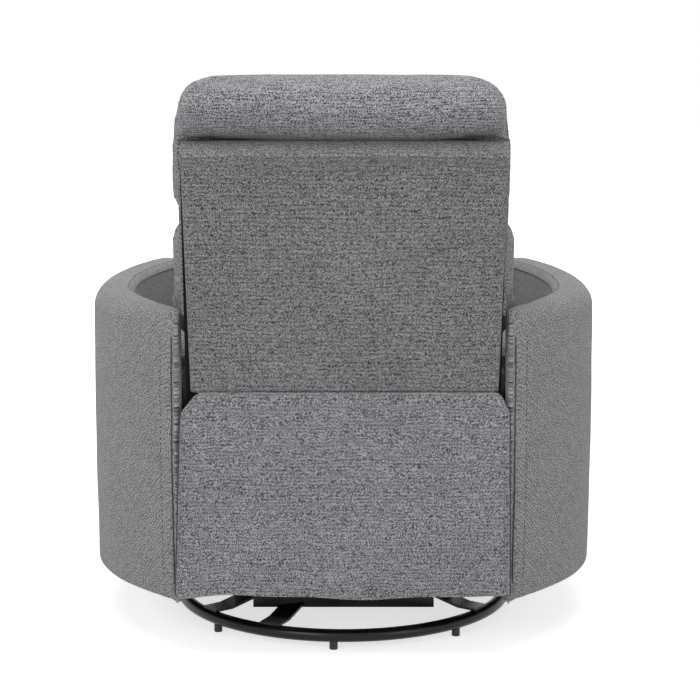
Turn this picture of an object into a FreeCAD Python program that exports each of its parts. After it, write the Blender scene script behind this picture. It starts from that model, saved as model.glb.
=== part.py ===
import FreeCAD, Part
import Sketcher
import math
import os
import re

# Swivel glider recliner.  Millimetres, front towards -Y, up is +Z, origin on the
# floor at the swivel axis.  Pieces that come in left and right pairs are drawn on
# the +X side and mirrored.

doc = FreeCAD.newDocument("recliner")
sheet = doc.addObject("Spreadsheet::Sheet", "dims")

DRIVING = [
    # floor base
    ("glide_foot_height", 12), ("glide_foot_radius", 7), ("glide_foot_count", 8),
    ("glide_foot_turn", -3.3), ("ring_radius", 290), ("ring_tube", 22),
    ("spider_height", 60), ("spider_radius", 160), ("spider_sheet", 4), ("leg_width", 38),
    ("spider_half_width", 156), ("spider_half_depth", 190), ("spider_flange", 22),
    # swivel
    ("kingpin_radius", 12), ("kingpin_fit", 0.05), ("race_radius", 130), ("race_width", 20),
    ("race_height", 6), ("ball_radius", 5), ("ball_count", 16), ("ball_fit", 0.05),
    ("swivel_plate_radius", 150), ("swivel_plate_sheet", 5), ("nut_radius", 20),
    ("nut_height", 10), ("nut_gap", 0.3),
    # carriage and glide links
    ("carriage_rail_y", 90), ("carriage_rail_height", 25), ("carriage_rail_width", 30),
    ("upright_inner_x", 200), ("upright_sheet", 6), ("upright_width", 34),
    ("pivot_spacing", 280), ("upper_pivot_z", 230), ("link_drop", 120), ("link_sheet", 6),
    ("link_radius", 14), ("side_gap", 1), ("pin_radius", 6), ("bush_wall", 2.5),
    ("pin_fit", 0.05), ("pin_head_radius", 10), ("pin_head_height", 2.6),
    # chassis
    ("side_plate_gap", 4), ("side_plate_sheet", 5), ("side_rail_width", 10),
    ("side_rail_bottom", 270), ("side_rail_height", 40), ("side_rail_front", 268),
    ("side_rail_rear", 160), ("mech_plate_sheet", 5), ("cross_tube_height", 25),
    ("cross_tube_width", 30), ("front_tube_y", -105), ("rear_tube_y", 75),
    ("arm_well", 97), ("arm_board_sheet", 20), ("arm_board_half_length", 135),
    ("arm_board_bottom", 125), ("arm_board_top", 535), ("bolt_radius", 4),
    ("track_x", 270), ("track_width", 16), ("track_height", 17), ("track_front", 260),
    ("track_rear", 140), ("slide_fit", 0.05),
    # seat
    ("seat_rail_x", 268), ("seat_rail_width", 20), ("seat_rail_height", 43),
    ("seat_rail_front", 345), ("seat_rail_rear", 165), ("seat_cross_height", 18),
    ("seat_cross_width", 25), ("webbing_width", 50), ("webbing_sheet", 3),
    ("webbing_count", 6), ("seat_cushion_thickness", 108),
    # back
    ("hinge_y", 150), ("hinge_z", 372), ("hinge_sheet", 5), ("hinge_gap", 0.3),
    ("back_lean", 9.6), ("back_post_width", 24), ("back_post_depth", 25),
    ("back_post_length", 455), ("back_post_start", 50), ("back_face_y", 124),
    ("back_panel_half_width", 255), ("back_panel_sheet", 16), ("back_panel_start", 103),
    ("back_panel_lip", 16), ("back_rail_height", 30), ("pillow_start", 146),
    # footrest linkage: the long bars, the short bars past the last crossing
    ("foot_pivot_front", 262), ("foot_pivot_z", 295), ("bar_length", 110),
    ("long_bar_end", 80), ("short_bar_end", 60), ("bar_sheet", 5), ("bar_radius", 7),
    ("bar_gap", 2), ("bar_pin_radius", 4), ("down_angle", -80), ("up_angle", 75),
    ("foot_board_front", 372), ("foot_board_sheet", 12), ("foot_board_half_width", 262),
    ("foot_board_above", 93), ("foot_board_below", 135), ("foot_pad_thickness", 34.1),
    ("foot_pad_margin", 13), ("soft_gap", 0.3), ("foot_tube_radius", 9),
    # covers
    ("arm_height", 581), ("arm_bottom", 93), ("arm_padding", 38), ("arm_back_gap", 2.3),
    ("skirt_bottom", 108), ("skirt_sheet", 3), ("skirt_y", 352),
    # release lever
    ("lever_inset", 33), ("lever_sheet", 5), ("lever_pivot_z", 362), ("lever_length", 110),
]

for row, (alias, number) in enumerate(DRIVING, start=1):
    sheet.set("A%d" % row, alias)
    sheet.set("B%d" % row, str(number))
    sheet.setAlias("B%d" % row, alias)
doc.recompute()

levels = doc.addObject("App::FeaturePython", "levels")
driving_names = {alias for alias, number in DRIVING}


def bound(rule):
    """Turn plain names in a rule into references to the sheet and the levels."""
    def place(match):
        word = match.group(0)
        return ("dims." if word in driving_names else "levels.") + word
    return re.sub(r"[a-z][a-z0-9_]*", place, str(rule))


def derive(name, rule):
    levels.addProperty("App::PropertyFloat", name)
    levels.setExpression(name, bound(rule))


def num(name):
    return float(sheet.get(name)) if name in driving_names else getattr(levels, name)


# Heights and side layers, each worked out once from the driving sizes.
derive("ring_middle", "glide_foot_height + ring_tube / 2")
derive("ring_top", "glide_foot_height + ring_tube")
derive("spider_top", "spider_height + spider_sheet")
derive("ball_z", "spider_top + race_height + 2")
derive("upper_race_z", "ball_z + 2")
derive("swivel_plate_z", "upper_race_z + race_height")
derive("carriage_z", "swivel_plate_z + swivel_plate_sheet")
derive("upright_top", "upper_pivot_z + 20")
derive("pivot_y", "pivot_spacing / 2")
derive("link_x", "upright_inner_x + upright_sheet + side_gap")
derive("link_outer_x", "link_x + link_sheet")
derive("lower_pivot_z", "upper_pivot_z - link_drop")
derive("side_plate_x", "link_outer_x + side_plate_gap")
derive("side_rail_x", "side_plate_x + side_plate_sheet")
derive("side_rail_top", "side_rail_bottom + side_rail_height")
derive("mech_plate_x", "side_rail_x + side_rail_width")
derive("down_bar_x", "mech_plate_x + mech_plate_sheet + bar_gap")
derive("up_bar_x", "down_bar_x + bar_sheet + bar_gap")
derive("bar_stack_end", "up_bar_x + bar_sheet + 1")
derive("cross_tube_top", "side_rail_top + cross_tube_height")
derive("track_top", "cross_tube_top + track_height")
derive("seat_rail_z", "track_top + slide_fit")
derive("seat_rail_top", "seat_rail_z + seat_rail_height")
derive("webbing_top", "seat_rail_top + webbing_sheet")
derive("hinge_plate_x", "seat_rail_x - hinge_sheet")
derive("back_bracket_x", "hinge_plate_x - hinge_gap - hinge_sheet")
derive("back_post_x", "back_bracket_x - back_post_width")
derive("back_frame_top", "back_post_start + back_post_length")
derive("back_panel_length", "back_frame_top + back_panel_lip - back_panel_start")
derive("arm_board_x", "seat_rail_x + seat_rail_width + arm_well")
derive("arm_reach", "arm_board_x + arm_board_sheet + arm_padding")
derive("arm_rear_x", "back_bracket_x + hinge_sheet + arm_back_gap")
derive("lever_x", "arm_board_x - lever_inset")
doc.recompute()


def bind(obj, rules):
    for path, rule in rules.items():
        obj.setExpression(path, bound(rule))
    return obj


def box(name, x, y, z):
    """A box between two rules along each axis."""
    obj = doc.addObject("Part::Box", name)
    spans = {"Length": x, "Width": y, "Height": z}
    for prop, (low, high) in spans.items():
        bind(obj, {prop: "(%s) - (%s)" % (high, low)})
    for axis, (low, high) in zip("xyz", (x, y, z)):
        bind(obj, {"Placement.Base." + axis: low})
    return obj


def upright_cylinder(name, radius, low, high, x="0", y="0"):
    obj = doc.addObject("Part::Cylinder", name)
    bind(obj, {"Radius": radius, "Height": "(%s) - (%s)" % (high, low)})
    bind(obj, {"Placement.Base.x": x, "Placement.Base.y": y, "Placement.Base.z": low})
    return obj


def cross_cylinder(name, radius, x, y, z):
    """A cylinder along X between two rules, for pins, bushes and tubes."""
    obj = doc.addObject("Part::Cylinder", name)
    obj.Placement.Rotation = FreeCAD.Rotation(FreeCAD.Vector(0, 1, 0), 90)
    bind(obj, {"Radius": radius, "Height": "(%s) - (%s)" % (x[1], x[0])})
    bind(obj, {"Placement.Base.x": x[0], "Placement.Base.y": y, "Placement.Base.z": z})
    return obj


def cut(name, base, tool):
    obj = doc.addObject("Part::Cut", name)
    obj.Base = base
    obj.Tool = tool
    return obj


def fuse(name, pieces):
    obj = doc.addObject("Part::MultiFuse", name)
    obj.Shapes = pieces
    return obj


def group(name, pieces):
    obj = doc.addObject("Part::Compound", name)
    obj.Links = pieces
    return obj


def mirrored(obj):
    other = doc.addObject("Part::Mirroring", obj.Name + "_other_side")
    other.Source = obj
    other.Normal = FreeCAD.Vector(1, 0, 0)
    return other


def pair(name, pieces):
    """Pieces of the +X side and their mirror images, as one node."""
    return group(name, pieces + [mirrored(piece) for piece in pieces])


def solid_feature(name, shape):
    obj = doc.addObject("Part::Feature", name)
    obj.Shape = shape
    obj.Placement = shape.Placement
    return obj


nodes = []


def node(obj, label):
    obj.Label = label
    nodes.append(obj)
    return obj


def origin_plane(body, role):
    return [item for item in body.Origin.OriginFeatures if item.Role == role][0]


def slot_plate(name, lengths, radius, hole, sheet_rule):
    """A flat bar as a sketched slot: rounded ends, a hole at the start and one at each
    length along +Y.  The last length is the far end."""
    body = doc.addObject("PartDesign::Body", name)
    sketch = body.newObject("Sketcher::SketchObject", name + "_outline")
    sketch.AttachmentSupport = (origin_plane(body, "YZ_Plane"), "")
    sketch.MapMode = "FlatFace"
    vector = FreeCAD.Vector
    far, wide = 100.0, 10.0
    start = sketch.addGeometry(Part.ArcOfCircle(Part.Circle(vector(0, 0, 0), vector(0, 0, 1), wide),
                                                math.pi / 2, 3 * math.pi / 2))
    end = sketch.addGeometry(Part.ArcOfCircle(Part.Circle(vector(far, 0, 0), vector(0, 0, 1), wide),
                                              -math.pi / 2, math.pi / 2))
    top = sketch.addGeometry(Part.LineSegment(vector(far, wide, 0), vector(0, wide, 0)))
    low = sketch.addGeometry(Part.LineSegment(vector(0, -wide, 0), vector(far, -wide, 0)))
    constraint = Sketcher.Constraint
    sketch.addConstraint(constraint("Coincident", start, 3, -1, 1))
    sketch.addConstraint(constraint("PointOnObject", end, 3, -1))
    sketch.addConstraint(constraint("Tangent", top, 2, start, 1))
    sketch.addConstraint(constraint("Tangent", start, 2, low, 1))
    sketch.addConstraint(constraint("Tangent", low, 2, end, 1))
    sketch.addConstraint(constraint("Tangent", end, 2, top, 1))
    sketch.addConstraint(constraint("Equal", start, end))
    sketch.addConstraint(constraint("Radius", start, wide))
    sketch.renameConstraint(sketch.ConstraintCount - 1, "end_radius")
    sketch.addConstraint(constraint("DistanceX", start, 3, end, 3, far))
    sketch.renameConstraint(sketch.ConstraintCount - 1, "reach")
    sketch.setExpression("Constraints.end_radius", bound(radius))
    sketch.setExpression("Constraints.reach", bound(lengths[-1]))
    pad = body.newObject("PartDesign::Pad", name + "_plate")
    pad.Profile = sketch
    pad.setExpression("Length", bound(sheet_rule))
    for index, place in enumerate(["0"] + lengths):
        drill = body.newObject("Sketcher::SketchObject", "%s_hole_%d" % (name, index))
        drill.AttachmentSupport = (origin_plane(body, "YZ_Plane"), "")
        drill.MapMode = "FlatFace"
        circle = drill.addGeometry(Part.Circle(vector(0, 0, 0), vector(0, 0, 1), 3))
        drill.addConstraint(constraint("PointOnObject", circle, 3, -1))
        drill.addConstraint(constraint("Radius", circle, 3))
        drill.renameConstraint(drill.ConstraintCount - 1, "bore")
        drill.setExpression("Constraints.bore", bound(hole))
        drill.addConstraint(constraint("DistanceX", -1, 1, circle, 3, 0.0))
        drill.renameConstraint(drill.ConstraintCount - 1, "along")
        drill.setExpression("Constraints.along", bound(place))
        pocket = body.newObject("PartDesign::Pocket", "%s_drilled_%d" % (name, index))
        pocket.Profile = drill
        pocket.Type = "ThroughAll"
        pocket.Midplane = True
    return body


def place_bar(body, x_rule, start, angle):
    """Put a slot plate at a pivot (forward, up), turned so that it points at an angle above
    straight ahead."""
    turn = FreeCAD.Rotation(FreeCAD.Vector(1, 0, 0), 180 - angle)
    body.Placement = FreeCAD.Placement(FreeCAD.Vector(0, -start[0], start[1]), turn)
    body.setExpression("Placement.Base.x", bound(x_rule))
    return body


def arc_wire(points, height):
    """A closed wire of arcs: every second point is one that an arc passes through."""
    corners = [FreeCAD.Vector(x, y, height) for x, y in points]
    edges = []
    for index in range(0, len(corners), 2):
        start, via = corners[index], corners[index + 1]
        end = corners[(index + 2) % len(corners)]
        edges.append(Part.Arc(start, via, end).toShape())
    return Part.Wire(edges)


def cushion_points(half_width, front, rear, corner, bow):
    """Plan of a cushion with bowed sides and rounded corners, for arc_wire."""
    corner = min(corner, 0.45 * (rear - front))
    soft = corner * 0.29
    middle = (front + rear) / 2
    quarter = [
        (half_width - corner, front), (half_width - soft, front + soft),
        (half_width, front + corner), (half_width + bow, middle),
        (half_width, rear - corner), (half_width - soft, rear - soft),
        (half_width - corner, rear), (0, rear + bow),
        (-half_width + corner, rear), (-half_width + soft, rear - soft),
        (-half_width, rear - corner), (-half_width - bow, middle),
        (-half_width, front + corner), (-half_width + soft, front + soft),
        (-half_width + corner, front), (0, front - bow),
    ]
    return quarter


def soft_stack(levels_list):
    """A cushion lofted through plans given as (height, half width, front, rear, corner, bow)."""
    wires = []
    for height, half_width, front, rear, corner, bow in levels_list:
        wires.append(arc_wire(cushion_points(half_width, front, rear, corner, bow), height))
    return Part.makeLoft(wires, True, True)


def lean_back(shape):
    """Lean a shape drawn upright behind the recline hinge to the angle of the back."""
    centre = FreeCAD.Vector(0, num("hinge_y"), num("hinge_z"))
    return shape.rotated(centre, FreeCAD.Vector(1, 0, 0), -num("back_lean"))


def leaning_box(name, x, along, up):
    """A box of the back frame: along is behind the hinge, up is above it, before leaning."""
    obj = doc.addObject("Part::Box", name)
    for prop, (low, high) in {"Length": x, "Width": along, "Height": up}.items():
        bind(obj, {prop: "(%s) - (%s)" % (high, low)})
    lean = math.radians(num("back_lean"))
    obj.Placement.Rotation = FreeCAD.Rotation(FreeCAD.Vector(1, 0, 0), -num("back_lean"))
    flat = "%.6f" % math.cos(lean)
    rise = "%.6f" % math.sin(lean)
    bind(obj, {
        "Placement.Base.x": x[0],
        "Placement.Base.y": "hinge_y + (%s) * %s + (%s) * %s" % (along[0], flat, up[0], rise),
        "Placement.Base.z": "hinge_z - (%s) * %s + (%s) * %s" % (along[0], rise, up[0], flat),
    })
    return obj


# Floor base

def ring_shape(name, tube_rule):
    ring = doc.addObject("Part::Torus", name)
    bind(ring, {"Radius1": "ring_radius", "Radius2": tube_rule, "Placement.Base.z": "ring_middle"})
    return ring


def foot_angles():
    count = int(num("glide_foot_count"))
    return [90 + num("glide_foot_turn") + 360.0 * index / count for index in range(count)]


def make_feet():
    feet = []
    for index, angle in enumerate(foot_angles()):
        foot = upright_cylinder("foot_%d" % index, "glide_foot_radius", "0",
                                "glide_foot_height + ring_tube / 4")
        away = (math.cos(math.radians(angle)), math.sin(math.radians(angle)))
        bind(foot, {"Placement.Base.x": "ring_radius * (%.6f)" % away[0],
                    "Placement.Base.y": "ring_radius * (%.6f)" % away[1]})
        feet.append(cut("foot_saddle_%d" % index, foot, ring_shape("seat_ring_%d" % index,
                                                                   "ring_tube / 2")))
    return group("base_feet_group", feet)


LEG_ANGLES = (38, 65, 144)


def make_spider():
    """Pressed steel spider: a raised tray with turned-down front and rear edges, and six legs
    that step down to the ring."""
    top, sheet_size = num("spider_top"), num("spider_sheet")
    low = num("ring_top")
    inner, outer = num("spider_radius") - 22, num("ring_radius")
    half = num("leg_width") / 2
    profile = [(inner - 40, top - sheet_size), (inner, top - sheet_size),
               (outer - 32, low), (outer + 4, low), (outer + 4, low + sheet_size),
               (outer - 30, low + sheet_size), (inner + 2, top), (inner - 40, top)]
    corners = [FreeCAD.Vector(x, -half, z) for x, z in profile]
    leg = Part.Face(Part.makePolygon(corners + corners[:1])).extrude(FreeCAD.Vector(0, 2 * half, 0))
    legs = []
    for angle in LEG_ANGLES:
        for turn in (angle, angle + 180):
            legs.append(leg.rotated(FreeCAD.Vector(), FreeCAD.Vector(0, 0, 1), turn))
    wide, deep, flange = num("spider_half_width"), num("spider_half_depth"), num("spider_flange")
    tray = [Part.makeBox(2 * wide, 2 * deep, sheet_size, FreeCAD.Vector(-wide, -deep, top - sheet_size))]
    for y in (-deep, deep - sheet_size):
        tray.append(Part.makeBox(2 * wide, sheet_size, flange, FreeCAD.Vector(-wide, y, top - flange)))
    spider = tray[0].multiFuse(tray[1:] + legs).removeSplitter()
    hole = Part.makeCylinder(num("kingpin_radius"), 20, FreeCAD.Vector(0, 0, top - 10))
    return solid_feature("spider_shape", spider.cut(hole))


node(ring_shape("ring", "ring_tube / 2"), "base_ring")
node(make_spider(), "base_legs")
node(make_feet(), "base_feet")


# Swivel bearing

def race(name, low, high):
    outer = upright_cylinder(name + "_outer", "race_radius + race_width / 2", low, high)
    inner = upright_cylinder(name + "_inner", "race_radius - race_width / 2", low, high)
    groove = doc.addObject("Part::Torus", name + "_groove")
    bind(groove, {"Radius1": "race_radius", "Radius2": "ball_radius + ball_fit",
                  "Placement.Base.z": "ball_z"})
    return cut(name, cut(name + "_blank", outer, inner), groove)


def make_balls():
    balls = []
    count = int(num("ball_count"))
    for index in range(count):
        angle = 2 * math.pi * index / count
        ball = doc.addObject("Part::Sphere", "ball_%d" % index)
        bind(ball, {"Radius": "ball_radius", "Placement.Base.z": "ball_z",
                    "Placement.Base.x": "race_radius * (%.6f)" % math.cos(angle),
                    "Placement.Base.y": "race_radius * (%.6f)" % math.sin(angle)})
        balls.append(ball)
    return group("ball_group", balls)


node(race("lower_race_ring", "spider_top", "spider_top + race_height"), "lower_race")
node(race("upper_race_ring", "upper_race_z", "upper_race_z + race_height"), "upper_race")
node(make_balls(), "bearing_balls")
kingpin = upright_cylinder("kingpin_shaft", "kingpin_radius", "spider_height",
                           "carriage_z + nut_gap + nut_height")
node(kingpin, "kingpin")
plate_hole = upright_cylinder("plate_hole", "kingpin_radius + kingpin_fit", "swivel_plate_z", "carriage_z")
plate = upright_cylinder("plate_disc", "swivel_plate_radius", "swivel_plate_z", "carriage_z")
node(cut("plate_drilled", plate, plate_hole), "swivel_plate")
nut = upright_cylinder("nut_blank", "nut_radius", "carriage_z + nut_gap", "carriage_z + nut_gap + nut_height")
nut_bore = upright_cylinder("nut_bore", "kingpin_radius", "carriage_z", "carriage_z + 2 * nut_height")
node(cut("nut_drilled", nut, nut_bore), "kingpin_nut")


# Carriage that hangs the seat on four links

def carriage_rail(name, y):
    return box(name, ("-upright_inner_x", "upright_inner_x"),
               (y + " - carriage_rail_width / 2", y + " + carriage_rail_width / 2"),
               ("carriage_z", "carriage_z + carriage_rail_height"))


node(group("carriage_cross", [carriage_rail("cross_front", "-carriage_rail_y"),
                              carriage_rail("cross_rear", "carriage_rail_y")]),
     "carriage_cross_rails")
side_bar = box("carriage_side", ("upright_inner_x", "upright_inner_x + upright_sheet"),
               ("-(pivot_y - upright_width / 2)", "pivot_y - upright_width / 2"),
               ("carriage_z", "carriage_z + carriage_rail_height"))
node(pair("carriage_sides", [side_bar]), "carriage_side_rails")


def upright(name, y):
    post = box(name, ("upright_inner_x", "upright_inner_x + upright_sheet"),
               (y + " - upright_width / 2", y + " + upright_width / 2"), ("carriage_z", "upright_top"))
    hole = cross_cylinder(name + "_hole", "pin_radius", ("upright_inner_x - 1", "upright_inner_x + 20"),
                          y, "upper_pivot_z")
    return cut(name + "_drilled", post, hole)


node(pair("uprights", [upright("upright_front", "-pivot_y"), upright("upright_rear", "pivot_y")]),
     "carriage_uprights")


def pin(name, radius, x, y, z, head_at):
    shaft = cross_cylinder(name + "_shaft", radius, x, y, z)
    head = cross_cylinder(name + "_head", "pin_head_radius", head_at, y, z)
    return fuse(name, [shaft, head])


def upper_pin(name, y):
    return pin(name, "pin_radius", ("upright_inner_x", "link_outer_x + 0.3"), y, "upper_pivot_z",
               ("link_outer_x + 0.3", "link_outer_x + 0.3 + pin_head_height"))


def lower_pin(name, y):
    return pin(name, "pin_radius", ("link_x", "side_rail_x + 0.3"), y, "lower_pivot_z",
               ("side_rail_x", "side_rail_x + pin_head_height"))


node(pair("upper_pins", [upper_pin("upper_pin_front", "-pivot_y"), upper_pin("upper_pin_rear", "pivot_y")]),
     "glide_upper_pins")
node(pair("lower_pins", [lower_pin("lower_pin_front", "-pivot_y"), lower_pin("lower_pin_rear", "pivot_y")]),
     "glide_lower_pins")


def glide_link(name, forward):
    bar = slot_plate(name, ["link_drop"], "link_radius", "pin_radius + bush_wall", "link_sheet")
    return place_bar(bar, "link_x", (forward, num("upper_pivot_z")), -90)


def bush(name, y, z):
    sleeve = cross_cylinder(name + "_sleeve", "pin_radius + bush_wall", ("link_x", "link_outer_x"), y, z)
    bore = cross_cylinder(name + "_bore", "pin_radius + pin_fit", ("link_x - 1", "link_outer_x + 1"), y, z)
    return cut(name, sleeve, bore)


for end, y in (("front", "-pivot_y"), ("rear", "pivot_y")):
    forward = num("pivot_y") if end == "front" else -num("pivot_y")
    node(pair("links_" + end, [glide_link("glide_link_" + end, forward)]), "glide_links_" + end)
    bushes = [bush("bush_top_" + end, y, "upper_pivot_z"), bush("bush_low_" + end, y, "lower_pivot_z")]
    node(pair("bushes_" + end, bushes), "glide_bushes_" + end)


# Chassis

def make_side_plate():
    """Plate that hangs from the chassis rail to the two lower pivots."""
    top, low = num("side_rail_top"), num("lower_pivot_z") - 16
    reach, foot = num("pivot_y"), 20
    outline = [(-reach - foot, low), (-reach + foot, low), (-reach + 45, low + 60),
               (reach - 45, low + 60), (reach - foot, low), (reach + foot, low),
               (reach + foot, top), (-reach - foot, top)]
    x = num("side_plate_x")
    corners = [FreeCAD.Vector(x, y, z) for y, z in outline]
    thick = FreeCAD.Vector(num("side_plate_sheet"), 0, 0)
    shape = Part.Face(Part.makePolygon(corners + corners[:1])).extrude(thick)
    for y in (-reach, reach):
        hole = Part.makeCylinder(num("pin_radius"), 40, FreeCAD.Vector(x - 10, y, num("lower_pivot_z")),
                                 FreeCAD.Vector(1, 0, 0))
        shape = shape.cut(hole)
    return solid_feature("side_plate", shape)


node(pair("side_plates", [make_side_plate()]), "glider_side_plates")
rail = box("chassis_rail", ("side_rail_x", "mech_plate_x"), ("-side_rail_front", "side_rail_rear"),
           ("side_rail_bottom", "side_rail_top"))
node(pair("chassis_rails", [rail]), "chassis_side_rails")


def cross_tube(name, y):
    return box(name, ("-arm_board_x", "arm_board_x"),
               (y + " - cross_tube_width / 2", y + " + cross_tube_width / 2"),
               ("side_rail_top", "cross_tube_top"))


tube_front = cross_tube("tube_front", "front_tube_y")
tube_rear = cross_tube("tube_rear", "rear_tube_y")

mech = box("mech_blank", ("mech_plate_x", "mech_plate_x + mech_plate_sheet"),
           ("-foot_pivot_front - 15", "-foot_pivot_front + 130"), ("foot_pivot_z - 30", "foot_pivot_z"))
mech_lug = cross_cylinder("mech_lug", "15", ("mech_plate_x", "mech_plate_x + mech_plate_sheet"),
                          "-foot_pivot_front", "foot_pivot_z")
mech_whole = fuse("mech_whole", [mech, mech_lug])
mech_hole = cross_cylinder("mech_hole", "bar_pin_radius", ("mech_plate_x - 1", "down_bar_x"),
                           "-foot_pivot_front", "foot_pivot_z")
node(pair("mech_plates", [cut("mech_drilled", mech_whole, mech_hole)]), "footrest_pivot_plates")

track = box("track", ("track_x", "track_x + track_width"), ("-track_front", "track_rear"),
            ("cross_tube_top", "track_top"))
node(pair("tracks", [track]), "seat_slide_tracks")


# Arms: a wooden board inside a padded, upholstered cover

ARM_PLAN = [
    # For each point of the plan: its distance in from the outer reach, its y, how far it moves
    # for each millimetre of rounding, and the share of it that keeps to the back, not the reach
    (88, -388, 0.35, -0.55, 0), (17, -190, 0.97, -0.2, 0), (5, -10, 1.0, 0.0, 0),
    (51, 185, 0.8, 0.5, 0.4), (151, 312, 0.25, 0.4, 1), (168, 328, -0.1, 0.4, 1),
    (178, 312, -0.35, 0.0, 1), (118, 178, -0.6, -0.4, 0.4), (73, 0, -1.0, 0.0, 0),
    (86, -190, -0.97, 0.2, 0), (140, -352, -0.5, 0.1, 0), (123, -396, -0.2, -0.5, 0),
]
ARM_PROFILE = ((0, 7), (0.015, 1), (0.05, 0), (0.5, -2), (0.90, 0), (0.945, 3), (0.975, 10),
               (0.992, 18), (1, 26))


def arm_cover_shape():
    """The arm: its plan lofted upwards, with soft edges at the bottom and a rounded top."""
    low, top = num("arm_bottom"), num("arm_height")
    reach, rear = num("arm_reach"), num("arm_rear_x")
    deepest = max(row[0] for row in ARM_PLAN)
    wires = []
    for part, inset in ARM_PROFILE:
        points = []
        for inward, y, nx, ny, tied in ARM_PLAN:
            x = (1 - tied) * (reach - inward) + tied * (rear + deepest - inward)
            points.append((x - inset * nx, y - inset * ny))
        wires.append(arc_wire(points, low + part * (top - low)))
    return Part.makeLoft(wires, True, True)


arm_board = box("arm_board", ("arm_board_x", "arm_board_x + arm_board_sheet"),
                ("-arm_board_half_length", "arm_board_half_length"), ("arm_board_bottom", "arm_board_top"))


def arm_bolt(name, y):
    return cross_cylinder(name, "bolt_radius", ("arm_board_x - 40", "arm_board_x + arm_board_sheet"), y,
                          "side_rail_top + cross_tube_height / 2")


bolts = [arm_bolt("bolt_front", "front_tube_y"), arm_bolt("bolt_rear", "rear_tube_y")]
both_bolts = pair("bolt_pair", bolts)
node(both_bolts, "arm_bolts")
node(group("cross_tubes", [cut("tube_front_drilled", tube_front, both_bolts),
                           cut("tube_rear_drilled", tube_rear, both_bolts)]), "chassis_cross_tubes")
arm_block = solid_feature("arm_block", arm_cover_shape())
arm_pockets = fuse("arm_pockets", [arm_board, tube_front, tube_rear])
arm_left = cut("arm_left", arm_block, arm_pockets)
node(arm_left, "arm_cover_left")
node(mirrored(arm_left), "arm_cover_right")
node(pair("arm_boards", [cut("arm_board_drilled", arm_board, fuse("bolt_holes", bolts))]), "arm_boards")


# Seat that slides on the tracks

seat_rail = box("seat_rail", ("seat_rail_x", "seat_rail_x + seat_rail_width"),
                ("-seat_rail_front", "seat_rail_rear"), ("seat_rail_z", "seat_rail_top"))
node(pair("seat_rails", [seat_rail]), "seat_side_rails")


def seat_cross(name, low):
    return box(name, ("-seat_rail_x", "seat_rail_x"), (low, low + " + seat_cross_width"),
               ("seat_rail_top - seat_cross_height", "seat_rail_top"))


node(group("seat_cross_pair", [seat_cross("seat_cross_front", "-seat_rail_front"),
                               seat_cross("seat_cross_rear", "seat_rail_rear - seat_cross_width - 60")]),
     "seat_cross_rails")


def make_webbing():
    strips = []
    count = int(num("webbing_count"))
    for index in range(count):
        share = "%.6f" % (2 * (index + 0.5) / count - 1)
        middle = "(seat_rail_x - 10) * (%s)" % share
        strips.append(box("seat_strip_%d" % index,
                          (middle + " - webbing_width / 2", middle + " + webbing_width / 2"),
                          ("-seat_rail_front", "seat_rail_rear - 60"), ("seat_rail_top", "webbing_top")))
    return group("seat_strips", strips)


node(make_webbing(), "seat_webbing")

# Right half of the seat's plan from the middle of the front edge to the middle of the rear.
SEAT_PLAN = ((0, -407), (130, -406), (250, -398), (276, -386), (285, -360), (297, -240), (322, -100),
             (332, 30), (312, 118), (296, 140), (262, 146), (130, 148), (0, 148))
SEAT_MIDDLE = -130
SEAT_CROWN = ((0, 20), (0.06, 4), (0.25, 0), (0.5, 4), (0.72, 2), (0.86, 16), (0.95, 44), (1, 90))


def make_seat_cushion():
    low = num("webbing_top") + num("soft_gap")
    tall = num("seat_cushion_thickness")
    wires = []
    for part, inset in SEAT_CROWN:
        points = []
        for x, y in SEAT_PLAN:
            points.append((x * (1 - inset / 340), SEAT_MIDDLE + (y - SEAT_MIDDLE) * (1 - inset / 280)))
        left = [(-x, y) for x, y in reversed(points[1:-1])]
        wires.append(arc_wire([points[0]] + points[1:-1] + [points[-1]] + left, low + part * tall))
    return solid_feature("seat_cushion_shape", Part.makeLoft(wires, True, True))


node(make_seat_cushion(), "seat_cushion")

hinge_plate = box("hinge_plate_blank", ("hinge_plate_x", "seat_rail_x"), ("hinge_y - 40", "seat_rail_rear"),
                  ("seat_rail_z", "hinge_z + 15"))
hinge_hole = cross_cylinder("hinge_hole", "pin_radius + pin_fit", ("hinge_plate_x - 1", "seat_rail_x + 1"),
                            "hinge_y", "hinge_z")
node(pair("hinge_plates", [cut("hinge_plate", hinge_plate, hinge_hole)]), "seat_hinge_plates")


# Back

recline_pin = cross_cylinder("recline_pin", "pin_radius", ("back_bracket_x", "seat_rail_x"),
                             "hinge_y", "hinge_z")
node(pair("recline_pins", [recline_pin]), "recline_pins")


def make_bracket():
    """Arm that carries the back frame from the recline hinge to the posts."""
    face = num("back_face_y")
    outline = [(-16, -16), (16, -16), (face + 22, num("back_post_start")), (face + 22, 130),
               (face, 130), (face - 20, 60), (-16, 16)]
    x = num("back_bracket_x")
    corners = [FreeCAD.Vector(x, num("hinge_y") + y, num("hinge_z") + z) for y, z in outline]
    thick = FreeCAD.Vector(num("hinge_sheet"), 0, 0)
    plate = Part.Face(Part.makePolygon(corners + corners[:1])).extrude(thick)
    hole = Part.makeCylinder(num("pin_radius"), 30, FreeCAD.Vector(x - 10, num("hinge_y"), num("hinge_z")),
                             FreeCAD.Vector(1, 0, 0))
    return solid_feature("back_bracket", lean_back(plate.cut(hole)))


node(pair("back_brackets", [make_bracket()]), "back_hinge_brackets")
post = leaning_box("back_post", ("back_post_x", "back_bracket_x"),
                   ("back_face_y", "back_face_y + back_post_depth"), ("back_post_start", "back_frame_top"))
node(pair("back_post_pair", [post]), "back_posts")


def back_rail(name, up):
    return leaning_box(name, ("-back_post_x", "back_post_x"),
                       ("back_face_y", "back_face_y + back_post_depth"), (up, up + " + back_rail_height"))


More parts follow.
